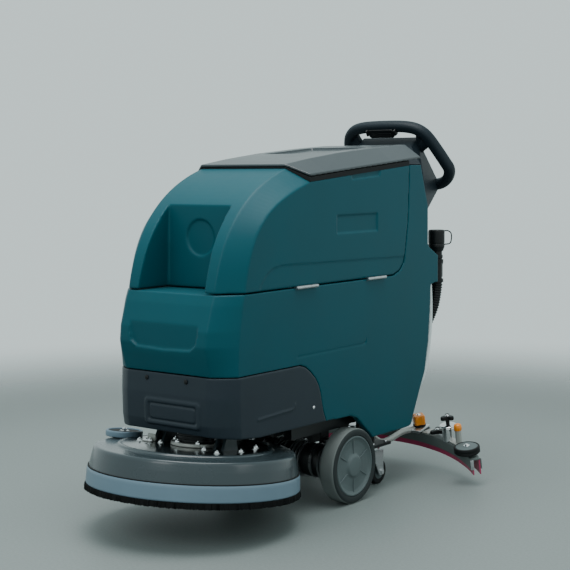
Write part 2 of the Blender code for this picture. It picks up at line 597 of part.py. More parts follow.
def make_deck():
    y, z0 = DECK_PIVOT[0], DECK_PIVOT[1] - DECK_PIVOT_H
    at = (0, y, z0)
    sides = 48
    shell = [(0.2720, 0.0592), (0.2685, 0.0750), (0.2630, 0.1030), (0.2590, 0.1120), (0.2520, 0.1172),
             (0.2050, 0.1188), (0.1985, 0.1165), (0.1900, 0.1165), (0.1860, 0.1205), (0.0500, 0.1205),
             (0.0500, 0.1125), (0.2350, 0.1085), (0.2540, 0.1000), (0.2625, 0.0592)]
    housing = piece("deck_housing", turned(shell, sides, at, ring=True), DECK_GREY, "deck")
    for side in (1, -1):
        for x in (0.086, 0.112):
            low_x, high_x = sorted((x * side, (x + 0.008) * side))
            lug = [(y - 0.030, z0 + 0.118), (y - 0.014, z0 + 0.164), (y + 0.014, z0 + 0.164),
                   (y + 0.030, z0 + 0.118)]
            fuse(housing, prism(lug, low_x, high_x), "deck")
    skirt = [(0.2755, 0.0555), (0.2740, 0.0590), (0.2724, 0.0590), (0.2724, 0.0588), (0.2640, 0.0588),
             (0.2650, 0.0172), (0.2768, 0.0172), (0.2775, 0.0220)]
    piece("splash_skirt", turned(skirt, sides, at, ring=True), SKIRT_GREY, "deck")
    bristles = [(0.2700, 0.0168), (0.2780, 0.0168), (DECK_R, 0.0010), (0.2735, 0.0010)]
    piece("bristle_strip", turned(bristles, sides, at, ring=True), BRISTLE, "deck")
    motor = [(0, 0.1010), (0.0470, 0.1010), (0.0470, 0.1209), (0.0640, 0.1209), (0.0640, 0.1300),
             (0.0500, 0.1300), (0.0500, 0.2100), (0.0400, 0.2200), (0, 0.2200)]
    piece("brush_motor", turned(motor, 28, at), CAST, "deck")
    joint("brush", (0, y, z0), "deck")
    brush = [(0, 0.0440), (0.185, 0.0440), (0.185, 0.0010), (0.252, 0.0010), (0.250, 0.0440),
             (0.242, 0.0520), (0.040, 0.0520), (0.030, 0.0600), (0.030, 0.1005), (0, 0.1005)]
    piece("scrub_brush", turned(brush, sides, at), BRISTLE, "brush")
    roller_at = (-0.237, y - 0.022, z0)
    joint("deck_roller", roller_at, "deck")
    roller = [(0, 0.1225), (0.048, 0.1225), (0.050, 0.1245), (0.050, 0.1400), (0.046, 0.1430),
              (0.010, 0.1430), (0.010, 0.1480), (0, 0.1480)]
    piece("deck_roller", turned(roller, 28, roller_at), GREY, "deck_roller")


def make_deck_arm():
    (y0, z0), (y1, z1) = ARM_PIVOT, DECK_PIVOT
    arm = None
    for side in (1, -1):
        low_x, high_x = sorted((0.0965 * side, 0.1095 * side))
        bar = [(y1 - 0.013, z1 - 0.009), (y1 - 0.013, z1 + 0.010), (y0 + 0.013, z0 + 0.010),
               (y0 + 0.013, z0 - 0.010)]
        if arm is None:
            arm = piece("deck_lift_arm", prism(bar, low_x, high_x), FRAME, "deck_arm", smooth=False)
        else:
            fuse(arm, prism(bar, low_x, high_x), "deck_arm")
    fuse(arm, turned([(0.009, -0.1114), (0.009, 0.1114)], 16, (0, *ARM_PIVOT), "X"), "deck_arm")
    fuse(arm, turned([(0.008, -0.1100), (0.008, 0.1100)], 12, (0, y0 - 0.100, z0 + 0.008), "X"), "deck_arm")


def arc_point(x, radius=ARC_R):
    return ARC_Y + sqrt(radius ** 2 - x ** 2)


def make_squeegee():
    barrel = turned([(0.011, -0.0314), (0.011, 0.0314)], 16, (0, *SQ_PIVOT), "X")
    arm = piece("squeegee_lift_arm", barrel, STEEL, "squeegee_arm")
    plate = block((-0.0250, SQ_PIVOT[0] + 0.002, 0.1060), (0.0250, SWING_Y + 0.022, 0.1140))
    fuse(arm, plate, "squeegee_arm")
    fuse(arm, turned([(0.0080, 0.1130), (0.0080, 0.1268), (0.0130, 0.1268), (0.0130, 0.1310)], 14,
                     (0, SWING_Y, 0)), "squeegee_arm")
    yoke = piece("squeegee_yoke", block((-0.0190, SWING_Y - 0.022, 0.1144), (0.0190, 0.560, 0.1224)),
                 STEEL, "squeegee")
    cut(yoke, turned([(0.0084, 0.10), (0.0084, 0.14)], 14, (0, SWING_Y, 0)), "squeegee")
    fuse(yoke, block((-0.0190, 0.552, 0.0640), (0.0190, 0.5600, 0.1200)), "squeegee")
    fuse(yoke, block((-0.1300, 0.552, 0.0562), (0.1300, 0.6150, 0.0642)), "squeegee")
    cut(yoke, turned([(0.0270, 0.04), (0.0270, 0.08)], 20, (0, 0.596, 0)), "squeegee")
    bar = piece("squeegee_bar", arc_bar(ARC_R - 0.016, ARC_R + 0.016, 0.0130, 0.0500), GREY, "squeegee")
    cut(bar, arc_bar(ARC_R - 0.0125, ARC_R + 0.0125, -0.01, 0.0460, half=ARC_HALF + 3), "squeegee")
    cut(bar, turned([(0.0180, 0.02), (0.0180, 0.08)], 20, (0, 0.605, 0)), "squeegee")
    piece("front_blade", arc_bar(ARC_R - 0.0118, ARC_R - 0.0086, 0.0006, 0.0455), BLADE, "squeegee")
    piece("rear_blade", arc_bar(ARC_R + 0.0086, ARC_R + 0.0118, 0.0006, 0.0455), BLADE, "squeegee")
    port = [(0.0245, 0.0504), (0.0245, 0.0550), (0.0225, 0.0550), (0.0225, 0.1150), (0.0190, 0.1150),
            (0.0170, 0.0504)]
    piece("suction_port", turned(port, 20, (0, 0.596, 0), ring=True), BLACK, "squeegee")
    for side, label in ((1, "left"), (-1, "right")):
        make_squeegee_end(bar, side, label)


def make_squeegee_end(bar, side, label):
    """The bracket, roller and knobs on one half of the squeegee."""
    x = 0.236 * side
    y = arc_point(x)
    fuse(bar, turned([(0.0200, 0.0490), (0.0200, 0.0960), (0.0160, 0.1020), (0, 0.1020)], 16, (x, y, 0)),
         "squeegee")
    x = 0.345 * side
    y = arc_point(x) - 0.014
    joint(f"bumper_roller_{label}", (x, y, 0.067), "squeegee")
    roller = [(0, 0.0505), (0.012, 0.0505), (0.012, 0.0570), (0.036, 0.0570), (0.038, 0.0590),
              (0.038, 0.0740), (0.036, 0.0765), (0.010, 0.0775), (0.008, 0.0830), (0, 0.0830)]
    piece(f"bumper_roller_{label}", turned(roller, 28, (x, y, 0)), RUBBER, f"bumper_roller_{label}")
    x = 0.105 * side
    y = arc_point(x)
    joint(f"mount_knob_{label}", (x, y, 0.0646), "squeegee")
    knob = piece(f"mount_knob_{label}", lobed(4, 0.0170, 0.0215, 0.0690, 0.1020, (x, y)), ORANGE,
                 f"mount_knob_{label}")
    fuse(knob, turned([(0.0200, 0.0646), (0.0200, 0.0694)], 16, (x, y, 0)), f"mount_knob_{label}")
    x = 0.182 * side
    y = arc_point(x)
    joint(f"clamp_knob_{label}", (x, y, 0.0505), "squeegee")
    knob = piece(f"clamp_knob_{label}", lobed(3, 0.0110, 0.0250, 0.0580, 0.0690, (x, y)), BLACK,
                 f"clamp_knob_{label}")
    fuse(knob, turned([(0.0090, 0.0505), (0.0090, 0.0600)], 12, (x, y, 0)), f"clamp_knob_{label}")
    x = 0.236 * side
    y = arc_point(x)
    joint(f"height_knob_{label}", (x, y, 0.1024), "squeegee")
    knob = piece(f"height_knob_{label}", lobed(3, 0.0100, 0.0220, 0.1160, 0.1280, (x, y)), BLACK,
                 f"height_knob_{label}")
    fuse(knob, turned([(0.0060, 0.1024), (0.0060, 0.1180)], 12, (x, y, 0)), f"height_knob_{label}")


def make_hoses():
    x, y = 0.165, 0.597
    drain = [(x, y, 0.6700), (x, y, 0.620), (x, y, 0.560), (0.158, 0.588, 0.500), (0.140, 0.568, 0.440),
             (0.115, 0.548, 0.395), (0.090, 0.5345, 0.375)]
    piece("drain_hose", hose(drain, 0.0170), RUBBER, "machine")
    joint("drain_cap", (x, y, 0.6704), "machine")
    cap = [(0.0200, 0.6704), (0.0250, 0.6850), (0.0250, 0.7300), (0.0220, 0.7350), (0, 0.7350)]
    piece("drain_cap", turned(cap, 20, (x, y, 0)), BLACK, "drain_cap")
    # from the squeegee's port up to the underside of the column's bulge
    suction = [(0, 0.5893, 0.1766), (0, 0.5800, 0.2250), (0, 0.5740, 0.3000), (0, 0.5660, 0.4000),
               (0, 0.5540, 0.4900), (0, 0.5466, 0.5400), (0, 0.5464, 0.5755)]
    piece("suction_hose", hose(suction, 0.0170), RUBBER, "machine")


def make_levers():
    pivot_y, pivot_z = 0.5250, 0.712
    joint("squeegee_lever", (-0.110, pivot_y, pivot_z), "machine")
    boss = turned([(0.014, -0.118), (0.014, -0.102)], 14, (0, pivot_y, pivot_z), "X")
    lever = piece("squeegee_lever", boss, FRAME, "squeegee_lever")
    rod = [(pivot_y + 0.004, pivot_z + 0.010), (pivot_y + 0.010, pivot_z - 0.004), (0.5960, 0.770),
           (0.5880, 0.776)]
    fuse(lever, prism(rod, -0.115, -0.105), "squeegee_lever")
    fuse(lever, block((-0.123, 0.584, 0.762), (-0.097, 0.606, 0.786), 0.006), "squeegee_lever")
    joint("deck_pedal", (-0.085, 0.372, 0.140), "machine")
    boss = turned([(0.011, -0.0970), (0.011, -0.0730)], 14, (0, 0.372, 0.140), "X")
    pedal = piece("deck_pedal", boss, FRAME, "deck_pedal")
    bar = [(0.366, 0.133), (0.366, 0.147), (0.450, 0.152), (0.500, 0.134), (0.498, 0.126), (0.448, 0.143)]
    fuse(pedal, prism(bar, -0.0900, -0.0800), "deck_pedal")
    fuse(pedal, block((-0.1150, 0.470, 0.126), (-0.0550, 0.505, 0.136), 0.002), "deck_pedal")


def main():
    joint("machine", (0, -CENTRE_Y, 0))
    joint("tank", (HINGE_X, 0, HINGE_Z), "machine")
    joint("lid", (-0.1995, 0, shoulder_z(0) + 0.0124), "tank")
    joint("deck_arm", (0, *ARM_PIVOT), "machine")
    joint("deck", (0, *DECK_PIVOT), "deck_arm", -DECK_TILT)
    joint("squeegee_arm", (0, *SQ_PIVOT), "machine", SQ_TILT)
    joint("squeegee", (0, SWING_Y, 0.118), "squeegee_arm")
    make_chassis()
    make_solution_tank()
    make_front_cover()
    make_inside()
    make_recovery_tank()
    make_lid()
    make_hinges()
    make_handle()
    make_console()
    make_controls()
    make_wheels()
    make_casters()
    make_deck_arm()
    make_deck()
    make_squeegee()
    make_hoses()
    make_levers()


main()
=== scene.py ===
"""Looks of a walk-behind wet dry floor scrubber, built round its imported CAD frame.

Pieces are drawn in machine coordinates, as the CAD source draws them: +X is the machine's
left, -Y its front, +Z up, with the drive axle at y = 0.1.  settle() moves each one into
the frame.  Pieces of the raised brush deck and squeegee are drawn level, then turned about
their pivots by the tilt that the frame's joint axes give.
"""
import json
from math import atan2, cos, pi, radians, sin, sqrt

import bmesh
import bpy
import numpy as np
from mathutils import Matrix, Vector


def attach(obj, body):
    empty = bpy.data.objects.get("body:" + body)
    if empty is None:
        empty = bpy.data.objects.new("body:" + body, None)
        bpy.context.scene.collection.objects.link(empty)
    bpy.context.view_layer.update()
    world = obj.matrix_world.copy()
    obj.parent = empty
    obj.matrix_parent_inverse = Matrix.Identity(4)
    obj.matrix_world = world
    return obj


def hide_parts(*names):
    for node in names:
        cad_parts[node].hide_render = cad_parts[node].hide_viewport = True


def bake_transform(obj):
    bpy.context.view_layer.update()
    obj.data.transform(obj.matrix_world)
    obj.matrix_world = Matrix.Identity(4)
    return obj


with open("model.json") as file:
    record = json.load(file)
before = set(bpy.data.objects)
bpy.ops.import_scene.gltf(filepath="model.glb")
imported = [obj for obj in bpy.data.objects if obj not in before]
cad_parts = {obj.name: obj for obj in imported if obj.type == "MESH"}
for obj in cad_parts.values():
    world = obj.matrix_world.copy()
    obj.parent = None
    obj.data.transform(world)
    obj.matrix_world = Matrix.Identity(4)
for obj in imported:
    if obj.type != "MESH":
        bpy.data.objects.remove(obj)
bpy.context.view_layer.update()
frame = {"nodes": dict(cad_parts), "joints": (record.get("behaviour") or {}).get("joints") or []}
NODES = frame["nodes"]
JOINTS = {j["name"]: j for j in frame["joints"]}

# ---- places taken from the frame, metres ----
AXLE_IN_MACHINE = 0.1
SHIFT = Matrix.Translation((0, JOINTS["wheel_left_spin"]["pos_m"][1] - AXLE_IN_MACHINE, 0))
AXLE_Y, AXLE_Z = AXLE_IN_MACHINE, JOINTS["wheel_left_spin"]["pos_m"][2]


def tilted(pivot_joint, axis_joint, drawn_at):
    """From pieces drawn level with the pivot at drawn_at to where the frame holds them."""
    axis = Vector(JOINTS[axis_joint]["axis"])
    turn = Matrix.Rotation(atan2(-axis.y, axis.z), 4, "X")
    return Matrix.Translation(JOINTS[pivot_joint]["pos_m"]) @ turn @ Matrix.Translation(-Vector(drawn_at))


DECK = tilted("deck_level", "brush_spin", (0, 0, 0.15))          # drawn round the deck's middle
LIFT_Y, LIFT_Z = 0.289, 0.113                                     # the squeegee lift's pivot
SQUEEGEE = tilted("squeegee_lift", "squeegee_swing", (0, LIFT_Y, LIFT_Z))

# ---- shared outlines, as in the CAD source ----
HALF_WIDTH, HALF_FACE = 0.198, 0.146
SPLIT_Z, TANK_Z = 0.616, 0.6192
LEAN = radians(33.0)
HANDLE_TOP = (0.55, 1.062)
ARC_Y, ARC_R, ARC_HALF = 0.0541, 0.551, 44.3
LID_SLOPE, LID_T = 0.0841, 0.012


# ---- mesh makers: each returns a bmesh ----
def shape(points, faces):
    bm = bmesh.new()
    verts = [bm.verts.new(p) for p in points]
    for face in faces:
        bm.faces.new([verts[i] for i in face])
    bmesh.ops.recalc_face_normals(bm, faces=bm.faces)
    return bm


def block(low, high, bevel=0.0):
    bm = bmesh.new()
    bmesh.ops.create_cube(bm, size=1.0)
    low, high = Vector(low), Vector(high)
    bmesh.ops.scale(bm, vec=high - low, verts=bm.verts)
    bmesh.ops.translate(bm, vec=(low + high) / 2, verts=bm.verts)
    if bevel:
        bmesh.ops.bevel(bm, geom=bm.edges, offset=bevel, segments=2, profile=0.5, affect="EDGES")
    return bm


def rows(outlines, ring=False):
    """A form through several outlines of the same number of points.

    Its two ends are capped, or joined to each other when ring is true.
    """
    n, count = len(outlines[0]), len(outlines)
    points = [p for outline in outlines for p in outline]
    pairs = [(k, (k + 1) % count) for k in range(count if ring else count - 1)]
    faces = [[a * n + i, a * n + (i + 1) % n, b * n + (i + 1) % n, b * n + i] for a, b in pairs
             for i in range(n)]
    if not ring:
        faces += [list(range(n)), list(range((count - 1) * n, count * n))]
    return shape(points, faces)


def prism(outline, low_x, high_x):
    """An outline of (y, z) points carried across."""
    return rows([[(x, y, z) for y, z in outline] for x in (low_x, high_x)])


def flank(outline, side, near, far):
    """A prism between two distances from the middle, on one side of the machine."""
    return prism(outline, *sorted((side * near, side * far)))


def slab(outline, low_y, high_y):
    """An outline of (x, z) points carried from front to back."""
    return rows([[(x, y, z) for x, z in outline] for y in (low_y, high_y)])


def chamfered(middle, side, half_face, half_width, bulge=0.0):
    """A side outline that changes from middle, across the flat face, to side at the sides.

    bulge rounds the chamfer between them outward, 1 being a quarter ellipse.
    """
    right = []
    for k in range(9 if bulge else 2):
        t = k / (8 if bulge else 1)
        across = (1 - bulge) * t + bulge * sin(pi / 2 * t)
        back = (1 - bulge) * t + bulge * (1 - cos(pi / 2 * t))
        outline = [(a[0] + (b[0] - a[0]) * back, a[1] + (b[1] - a[1]) * back) for a, b in zip(middle, side)]
        right.append((half_face + (half_width - half_face) * across, outline))
    at = [(-x, outline) for x, outline in right[::-1]] + right
    return rows([[(x, y, z) for y, z in outline] for x, outline in at])


def turned(profile, sides=64, at=(0, 0, 0), axis="Z", ring=False):
    """A profile of (radius, height) points turned about an axis through at."""
    points, rings = [], []
    for radius, height in profile:
        if radius == 0:
            rings.append([len(points)])
            points.append((0, 0, height))
            continue
        rings.append([len(points) + k for k in range(sides)])
        points += [(radius * cos(2 * pi * k / sides), radius * sin(2 * pi * k / sides), height)
                   for k in range(sides)]
    if ring:
        rings.append(rings[0])
    faces = []
    for lower, upper in zip(rings, rings[1:]):
        for k in range(sides):
            nxt = (k + 1) % sides
            quad = [lower[k % len(lower)], lower[nxt % len(lower)], upper[nxt % len(upper)],
                    upper[k % len(upper)]]
            faces.append(list(dict.fromkeys(quad)))
    if not ring:
        faces += [end for end in (rings[0], rings[-1]) if len(end) > 1]
    bm = shape(points, faces)
    turn = {"Z": Matrix(), "X": Matrix.Rotation(pi / 2, 4, "Y"),
            "Y": Matrix.Rotation(-pi / 2, 4, "X")}[axis]
    bmesh.ops.transform(bm, matrix=Matrix.Translation(at) @ turn, verts=bm.verts)
    return bm


def rounded_profile(profile, radius, steps=3):
    """The same profile with each inner corner turned into a small arc."""
    out = [profile[0]]
    for a, b, c in zip(profile, profile[1:], profile[2:]):
        a, b, c = Vector(a), Vector(b), Vector(c)
        reach = min(radius, (a - b).length * 0.45, (c - b).length * 0.45)
        start, end = b + (a - b).normalized() * reach, b + (c - b).normalized() * reach
        for k in range(steps + 1):
            t = k / steps
            out.append(tuple((1 - t) ** 2 * start + 2 * t * (1 - t) * b + t * t * end))
    return out + [profile[-1]]


def arc_bar(section, steps=72, half=ARC_HALF):
    """A closed section of (radius, z) points carried round the squeegee's arc."""
    outlines = []
    for k in range(steps + 1):
        angle = radians(-half + 2 * half * k / steps)
        outlines.append([(r * sin(angle), ARC_Y + r * cos(angle), z) for r, z in section])
    return rows(outlines)


def lobed(lobes, inner, outer, low, high, at, steps=16, lip=0.0015):
    """A knob whose rim swells into rounded lobes, with eased top and bottom edges."""
    sides, outlines = lobes * steps, []
    for z, shrink in ((low, lip), (low + lip, 0), (high - lip, 0), (high, lip)):
        outline = []
        for k in range(sides):
            angle = 2 * pi * k / sides
            radius = inner + (outer - inner) * (0.5 + 0.5 * cos(lobes * angle)) ** 1.5 - shrink
            outline.append((at[0] + radius * cos(angle), at[1] + radius * sin(angle), z))
        outlines.append(outline)
    return rows(outlines)


def bezier(a, b, c, d, steps):
    points = []
    for k in range(steps + 1):
        t = k / steps
        points.append(tuple((1 - t) ** 3 * p + 3 * t * (1 - t) ** 2 * q + 3 * t ** 2 * (1 - t) * r
                            + t ** 3 * s for p, q, r, s in zip(a, b, c, d)))
    return points


def smooth_route(points, spacing):
    """Points at an even spacing along a Catmull-Rom curve through the given ones."""
    points = [Vector(p) for p in points]
    ends = [2 * points[0] - points[1]] + points + [2 * points[-1] - points[-2]]
    fine = []
    for a, b, c, d in zip(ends, ends[1:], ends[2:], ends[3:]):
        for k in range(60):
            t = k / 60
            fine.append(0.5 * (2 * b + (c - a) * t + (2 * a - 5 * b + 4 * c - d) * t ** 2
                               + (3 * b - a - 3 * c + d) * t ** 3))
    fine.append(points[-1])
    route, walked = [fine[0]], 0.0
    for a, b in zip(fine, fine[1:]):
        walked += (b - a).length
        if walked >= spacing:
            route.append(b)
            walked = 0.0
    route[-1] = fine[-1]
    return route


def tube(points, radius, sides=20, spacing=0.01, ripple=0.0, pitch=0.006):
    """A round tube along a smooth route; ripple makes it a corrugated hose."""
    route = smooth_route(points, spacing)
    outlines, normal, walked = [], Vector((1, 0, 0.01)), 0.0
    for i, p in enumerate(route):
        ahead = (route[min(i + 1, len(route) - 1)] - route[max(i - 1, 0)]).normalized()
        normal = (normal - ahead * normal.dot(ahead)).normalized()
        other = ahead.cross(normal)
        r = radius - ripple * (0.5 + 0.5 * cos(2 * pi * walked / pitch)) if ripple else radius
        outlines.append([p + r * (normal * cos(2 * pi * k / sides) + other * sin(2 * pi * k / sides))
                         for k in range(sides)])
        walked += (route[min(i + 1, len(route) - 1)] - p).length
    return rows(outlines)


def merged(parts):
    """Several bmeshes as one, left as separate shells."""
    whole = bmesh.new()
    for part in parts:
        mesh = bpy.data.meshes.new("part")
        part.to_mesh(mesh)
        part.free()
        whole.from_mesh(mesh)
        bpy.data.meshes.remove(mesh)
    return whole


# ---- objects ----
def raw(name, bm):
    mesh = bpy.data.meshes.new(name)
    bm.to_mesh(mesh)
    bm.free()
    obj = bpy.data.objects.new(name, mesh)
    bpy.context.scene.collection.objects.link(obj)
    return obj


def combine(obj, bm, operation="DIFFERENCE"):
    """Boolean with a tool that goes once it is applied."""
    tool = raw("tool", bm)
    boolean = obj.modifiers.new("boolean", "BOOLEAN")
    boolean.operation = operation
    boolean.object = tool
    apply_all(obj)
    bpy.data.objects.remove(tool)


def apply_all(obj):
    graph = bpy.context.evaluated_depsgraph_get()
    graph.update()
    mesh = bpy.data.meshes.new_from_object(obj.evaluated_get(graph))
    obj.modifiers.clear()
    obj.data = mesh


def soften(obj, voxel, passes, keep):
    """Rounds every edge as a moulding's: a fine remesh, smoothed, with its flats thinned out."""
    remesh = obj.modifiers.new("remesh", "REMESH")
    remesh.mode = "VOXEL"
    remesh.voxel_size = voxel
    smooth = obj.modifiers.new("smooth", "SMOOTH")
    smooth.factor = 0.5
    smooth.iterations = passes
    thin = obj.modifiers.new("thin", "DECIMATE")
    thin.ratio = keep
    apply_all(obj)


def ease(obj, width):
    """Small rounded edges on a crisp form."""
    bevel = obj.modifiers.new("bevel", "BEVEL")
    bevel.width = width
    bevel.segments = 2
    bevel.limit_method = "ANGLE"
    bevel.angle_limit = radians(30)
    bevel.harden_normals = True


def settle(obj, mat, body, place=SHIFT, nodes=(), sharp=40):
    """Moves a drawn piece into the frame, finishes it and lets it ride on its body."""
    obj.data.transform(place)
    obj.data.materials.clear()
    obj.data.materials.append(mat)
    obj.data.shade_smooth()
    if sharp:
        obj.data.set_sharp_from_angle(angle=radians(sharp))
    if body:
        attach(obj, body)
    if nodes:
        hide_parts(*nodes)
    return obj


def piece(name, bm, mat, body, place=SHIFT, nodes=(), bevel=0.0, sharp=40):
    obj = raw(name, bm)
    if bevel:
        ease(obj, bevel)
    return settle(obj, mat, body, place, nodes, sharp)


# ---- materials ----
def link(tree, a, b):
    tree.links.new(a, b)


def surface(name, colour, roughness=0.45, metallic=0.0, grain=0.0, grain_scale=900.0, mottle=0.06,
            mottle_scale=9.0, rough_spread=0.06, coat=0.0, stretch=None, specular=0.5, dust=0.0):
    """A finish with colour mottling, uneven roughness, a moulded or brushed grain and some dust."""
    mat = bpy.data.materials.new(name)
    mat.use_nodes = True
    tree = mat.node_tree
    shader = tree.nodes["Principled BSDF"]
    shader.inputs["Metallic"].default_value = metallic
    shader.inputs["Specular IOR Level"].default_value = specular
    shader.inputs["Coat Weight"].default_value = coat
    shader.inputs["Coat Roughness"].default_value = 0.12
    coords = tree.nodes.new("ShaderNodeTexCoord")
    mapping = tree.nodes.new("ShaderNodeMapping")
    mapping.inputs["Scale"].default_value = stretch or (1, 1, 1)
    link(tree, coords.outputs["Object"], mapping.inputs["Vector"])
    broad = tree.nodes.new("ShaderNodeTexNoise")
    broad.inputs["Scale"].default_value = mottle_scale
    broad.inputs["Detail"].default_value = 5.0
    link(tree, mapping.outputs["Vector"], broad.inputs["Vector"])
    ramp = tree.nodes.new("ShaderNodeValToRGB")
    ramp.color_ramp.elements[0].position, ramp.color_ramp.elements[1].position = 0.3, 0.7
    ramp.color_ramp.elements[0].color = (*(c * (1 - mottle) for c in colour), 1)
    ramp.color_ramp.elements[1].color = (*(min(1, c * (1 + mottle)) for c in colour), 1)
    link(tree, broad.outputs["Fac"], ramp.inputs["Fac"])
    tint = ramp.outputs["Color"]
    if dust:
        geometry = tree.nodes.new("ShaderNodeNewGeometry")
        split = tree.nodes.new("ShaderNodeSeparateXYZ")
        link(tree, geometry.outputs["Normal"], split.inputs["Vector"])
        up = tree.nodes.new("ShaderNodeMapRange")
        up.inputs["From Min"].default_value, up.inputs["From Max"].default_value = 0.2, 1.0
        up.inputs["To Min"].default_value, up.inputs["To Max"].default_value = 0.0, dust
        link(tree, split.outputs["Z"], up.inputs["Value"])
        speck = tree.nodes.new("ShaderNodeTexNoise")
        speck.inputs["Scale"].default_value = 60.0
        speck.inputs["Detail"].default_value = 6.0
        link(tree, coords.outputs["Object"], speck.inputs["Vector"])
        much = tree.nodes.new("ShaderNodeMath")
        much.operation = "MULTIPLY"
        link(tree, up.outputs["Result"], much.inputs[0])
        link(tree, speck.outputs["Fac"], much.inputs[1])
        mix = tree.nodes.new("ShaderNodeMix")
        mix.data_type = "RGBA"
        mix.inputs["B"].default_value = (0.42, 0.42, 0.4, 1)
        link(tree, much.outputs["Value"], mix.inputs["Factor"])
        link(tree, tint, mix.inputs["A"])
        tint = mix.outputs["Result"]
    link(tree, tint, shader.inputs["Base Color"])
    spread = tree.nodes.new("ShaderNodeMapRange")
    spread.inputs["To Min"].default_value = max(0.02, roughness - rough_spread)
    spread.inputs["To Max"].default_value = min(1.0, roughness + rough_spread)
    link(tree, broad.outputs["Fac"], spread.inputs["Value"])
    link(tree, spread.outputs["Result"], shader.inputs["Roughness"])
    if grain:
        fine = tree.nodes.new("ShaderNodeTexNoise")
        fine.inputs["Scale"].default_value = grain_scale
        fine.inputs["Detail"].default_value = 3.0
        link(tree, mapping.outputs["Vector"], fine.inputs["Vector"])
        bump = tree.nodes.new("ShaderNodeBump")
        bump.inputs["Strength"].default_value = grain
        bump.inputs["Distance"].default_value = 0.0004
        link(tree, fine.outputs["Fac"], bump.inputs["Height"])
        link(tree, bump.outputs["Normal"], shader.inputs["Normal"])
    return mat


TEAL = surface("teal_moulding", (0.0004, 0.06, 0.079), 0.44, grain=0.25, grain_scale=420, dust=0.03,
               mottle=0.05, mottle_scale=5, specular=0.16)
COVER = surface("cover_moulding", (0.0125, 0.0215, 0.03), 0.4, grain=0.3, grain_scale=500, dust=0.04,
                specular=0.25)
LID = surface("lid_moulding", (0.022, 0.032, 0.037), 0.3, grain=0.22, grain_scale=520, specular=0.55)
DARK = surface("handle_moulding", (0.009, 0.0155, 0.0205), 0.46, grain=0.4, grain_scale=650, specular=0.14)
BLACK = surface("black_moulding", (0.005, 0.006, 0.0065), 0.42, grain=0.35, grain_scale=700, specular=0.25)
RUBBER = surface("black_rubber", (0.006, 0.007, 0.0075), 0.66, grain=0.3, grain_scale=500, dust=0.04,
                 specular=0.2)
TYRE = surface("tyre_rubber", (0.135, 0.154, 0.15), 0.62, grain=0.35, grain_scale=380, mottle=0.1,
               dust=0.08, specular=0.2)
# the tread's rubber in a darker copy: painted shade on the tyre's side face
PAINTED_SHADE_TYRE_WALL = surface("tyre_wall_painted_shade", (0.018, 0.024, 0.025), 0.55, grain=0.3, grain_scale=380, specular=0.25)
HUB = surface("hub_moulding", (0.08, 0.105, 0.108), 0.42, grain=0.25, grain_scale=600, specular=0.3)
SKIRT = surface("skirt_moulding", (0.12, 0.185, 0.235), 0.4, grain=0.2, grain_scale=420, mottle=0.05,
                specular=0.3)
DECK_PAINT = surface("deck_paint", (0.028, 0.042, 0.048), 0.26, grain=0.1, grain_scale=260, coat=0.25,
                     specular=0.35)
BRISTLES = surface("nylon_bristles", (0.0035, 0.004, 0.004), 0.65, mottle=0.3, mottle_scale=80,
                   specular=0.1)
STEEL = surface("brushed_steel", (0.56, 0.57, 0.58), 0.3, 1.0, grain=0.18, grain_scale=120,
                stretch=(1, 1, 14), rough_spread=0.1)
CHROME = surface("chrome", (0.78, 0.79, 0.8), 0.1, 1.0, rough_spread=0.04)
FRAME_PAINT = surface("frame_paint", (0.008, 0.01, 0.011), 0.42, grain=0.25, grain_scale=300, specular=0.3)
CAST = surface("cast_alloy", (0.3, 0.31, 0.32), 0.42, 0.9, grain=0.9, grain_scale=350)
PLATE = surface("painted_plate", (0.1, 0.122, 0.118), 0.36, grain=0.1, grain_scale=300, coat=0.15,
                specular=0.35)
BLADE = surface("red_polyurethane", (0.42, 0.03, 0.105), 0.3, grain=0.08, mottle=0.12, mottle_scale=30)
ORANGE = surface("orange_moulding", (0.78, 0.235, 0.012), 0.34, grain=0.2, grain_scale=600)
RED = surface("red_moulding", (0.52, 0.012, 0.01), 0.28)
COPPER = surface("copper", (0.75, 0.33, 0.16), 0.3, 1.0)
GLASS = surface("display_window", (0.006, 0.01, 0.012), 0.08, coat=0.6)
LED = surface("lamp_green", (0.03, 0.42, 0.16), 0.25)
PALE = surface("pale_marks", (0.62, 0.64, 0.64), 0.4)
GREEN = surface("green_button", (0.02, 0.23, 0.08), 0.34)
BLUE = surface("blue_button", (0.015, 0.11, 0.33), 0.34)
DECK_TOP = surface("deck_enamel", (0.01, 0.014, 0.016), 0.16, coat=0.35, specular=0.4)
PALE_METAL = surface("pale_cast", (0.4, 0.41, 0.385), 0.36, 0.35, grain=0.5, grain_scale=350)
# a lighter, glossier copy of the hub moulding: painted highlight on the hub's ribs
HUB_RIB_HIGHLIGHT = surface("hub_rib_painted_highlight", (0.085, 0.112, 0.118), 0.36)
CLEAR = surface("clear_vinyl", (0.62, 0.68, 0.68), 0.22, mottle=0.03, mottle_scale=40)
FLOOR = surface("floor", (0.17, 0.2, 0.195), 0.55, mottle=0.1, mottle_scale=140, grain=0.2, grain_scale=90)


# ---- camera, lights, floor ----
def make_camera():
    yaw, pitch, roll = radians(37.94), radians(5.187), radians(-0.441)
    ahead = Vector((-sin(yaw) * cos(pitch), cos(yaw) * cos(pitch), -sin(pitch)))
    right = Vector((cos(yaw), sin(yaw), 0))
    up = right.cross(ahead)
    axis_x = right * cos(roll) + up * sin(roll)
    axis_y = up * cos(roll) - right * sin(roll)
    camera = bpy.data.cameras.new("camera")
    camera.lens, camera.sensor_width = 84.0, 36.0
    holder = bpy.data.objects.new("camera", camera)
    bpy.context.scene.collection.objects.link(holder)
    turn = Matrix((axis_x, axis_y, -ahead)).transposed().to_4x4()
    holder.matrix_world = Matrix.Translation((2.2807, -2.9066, 0.936)) @ turn
    bpy.context.scene.camera = holder


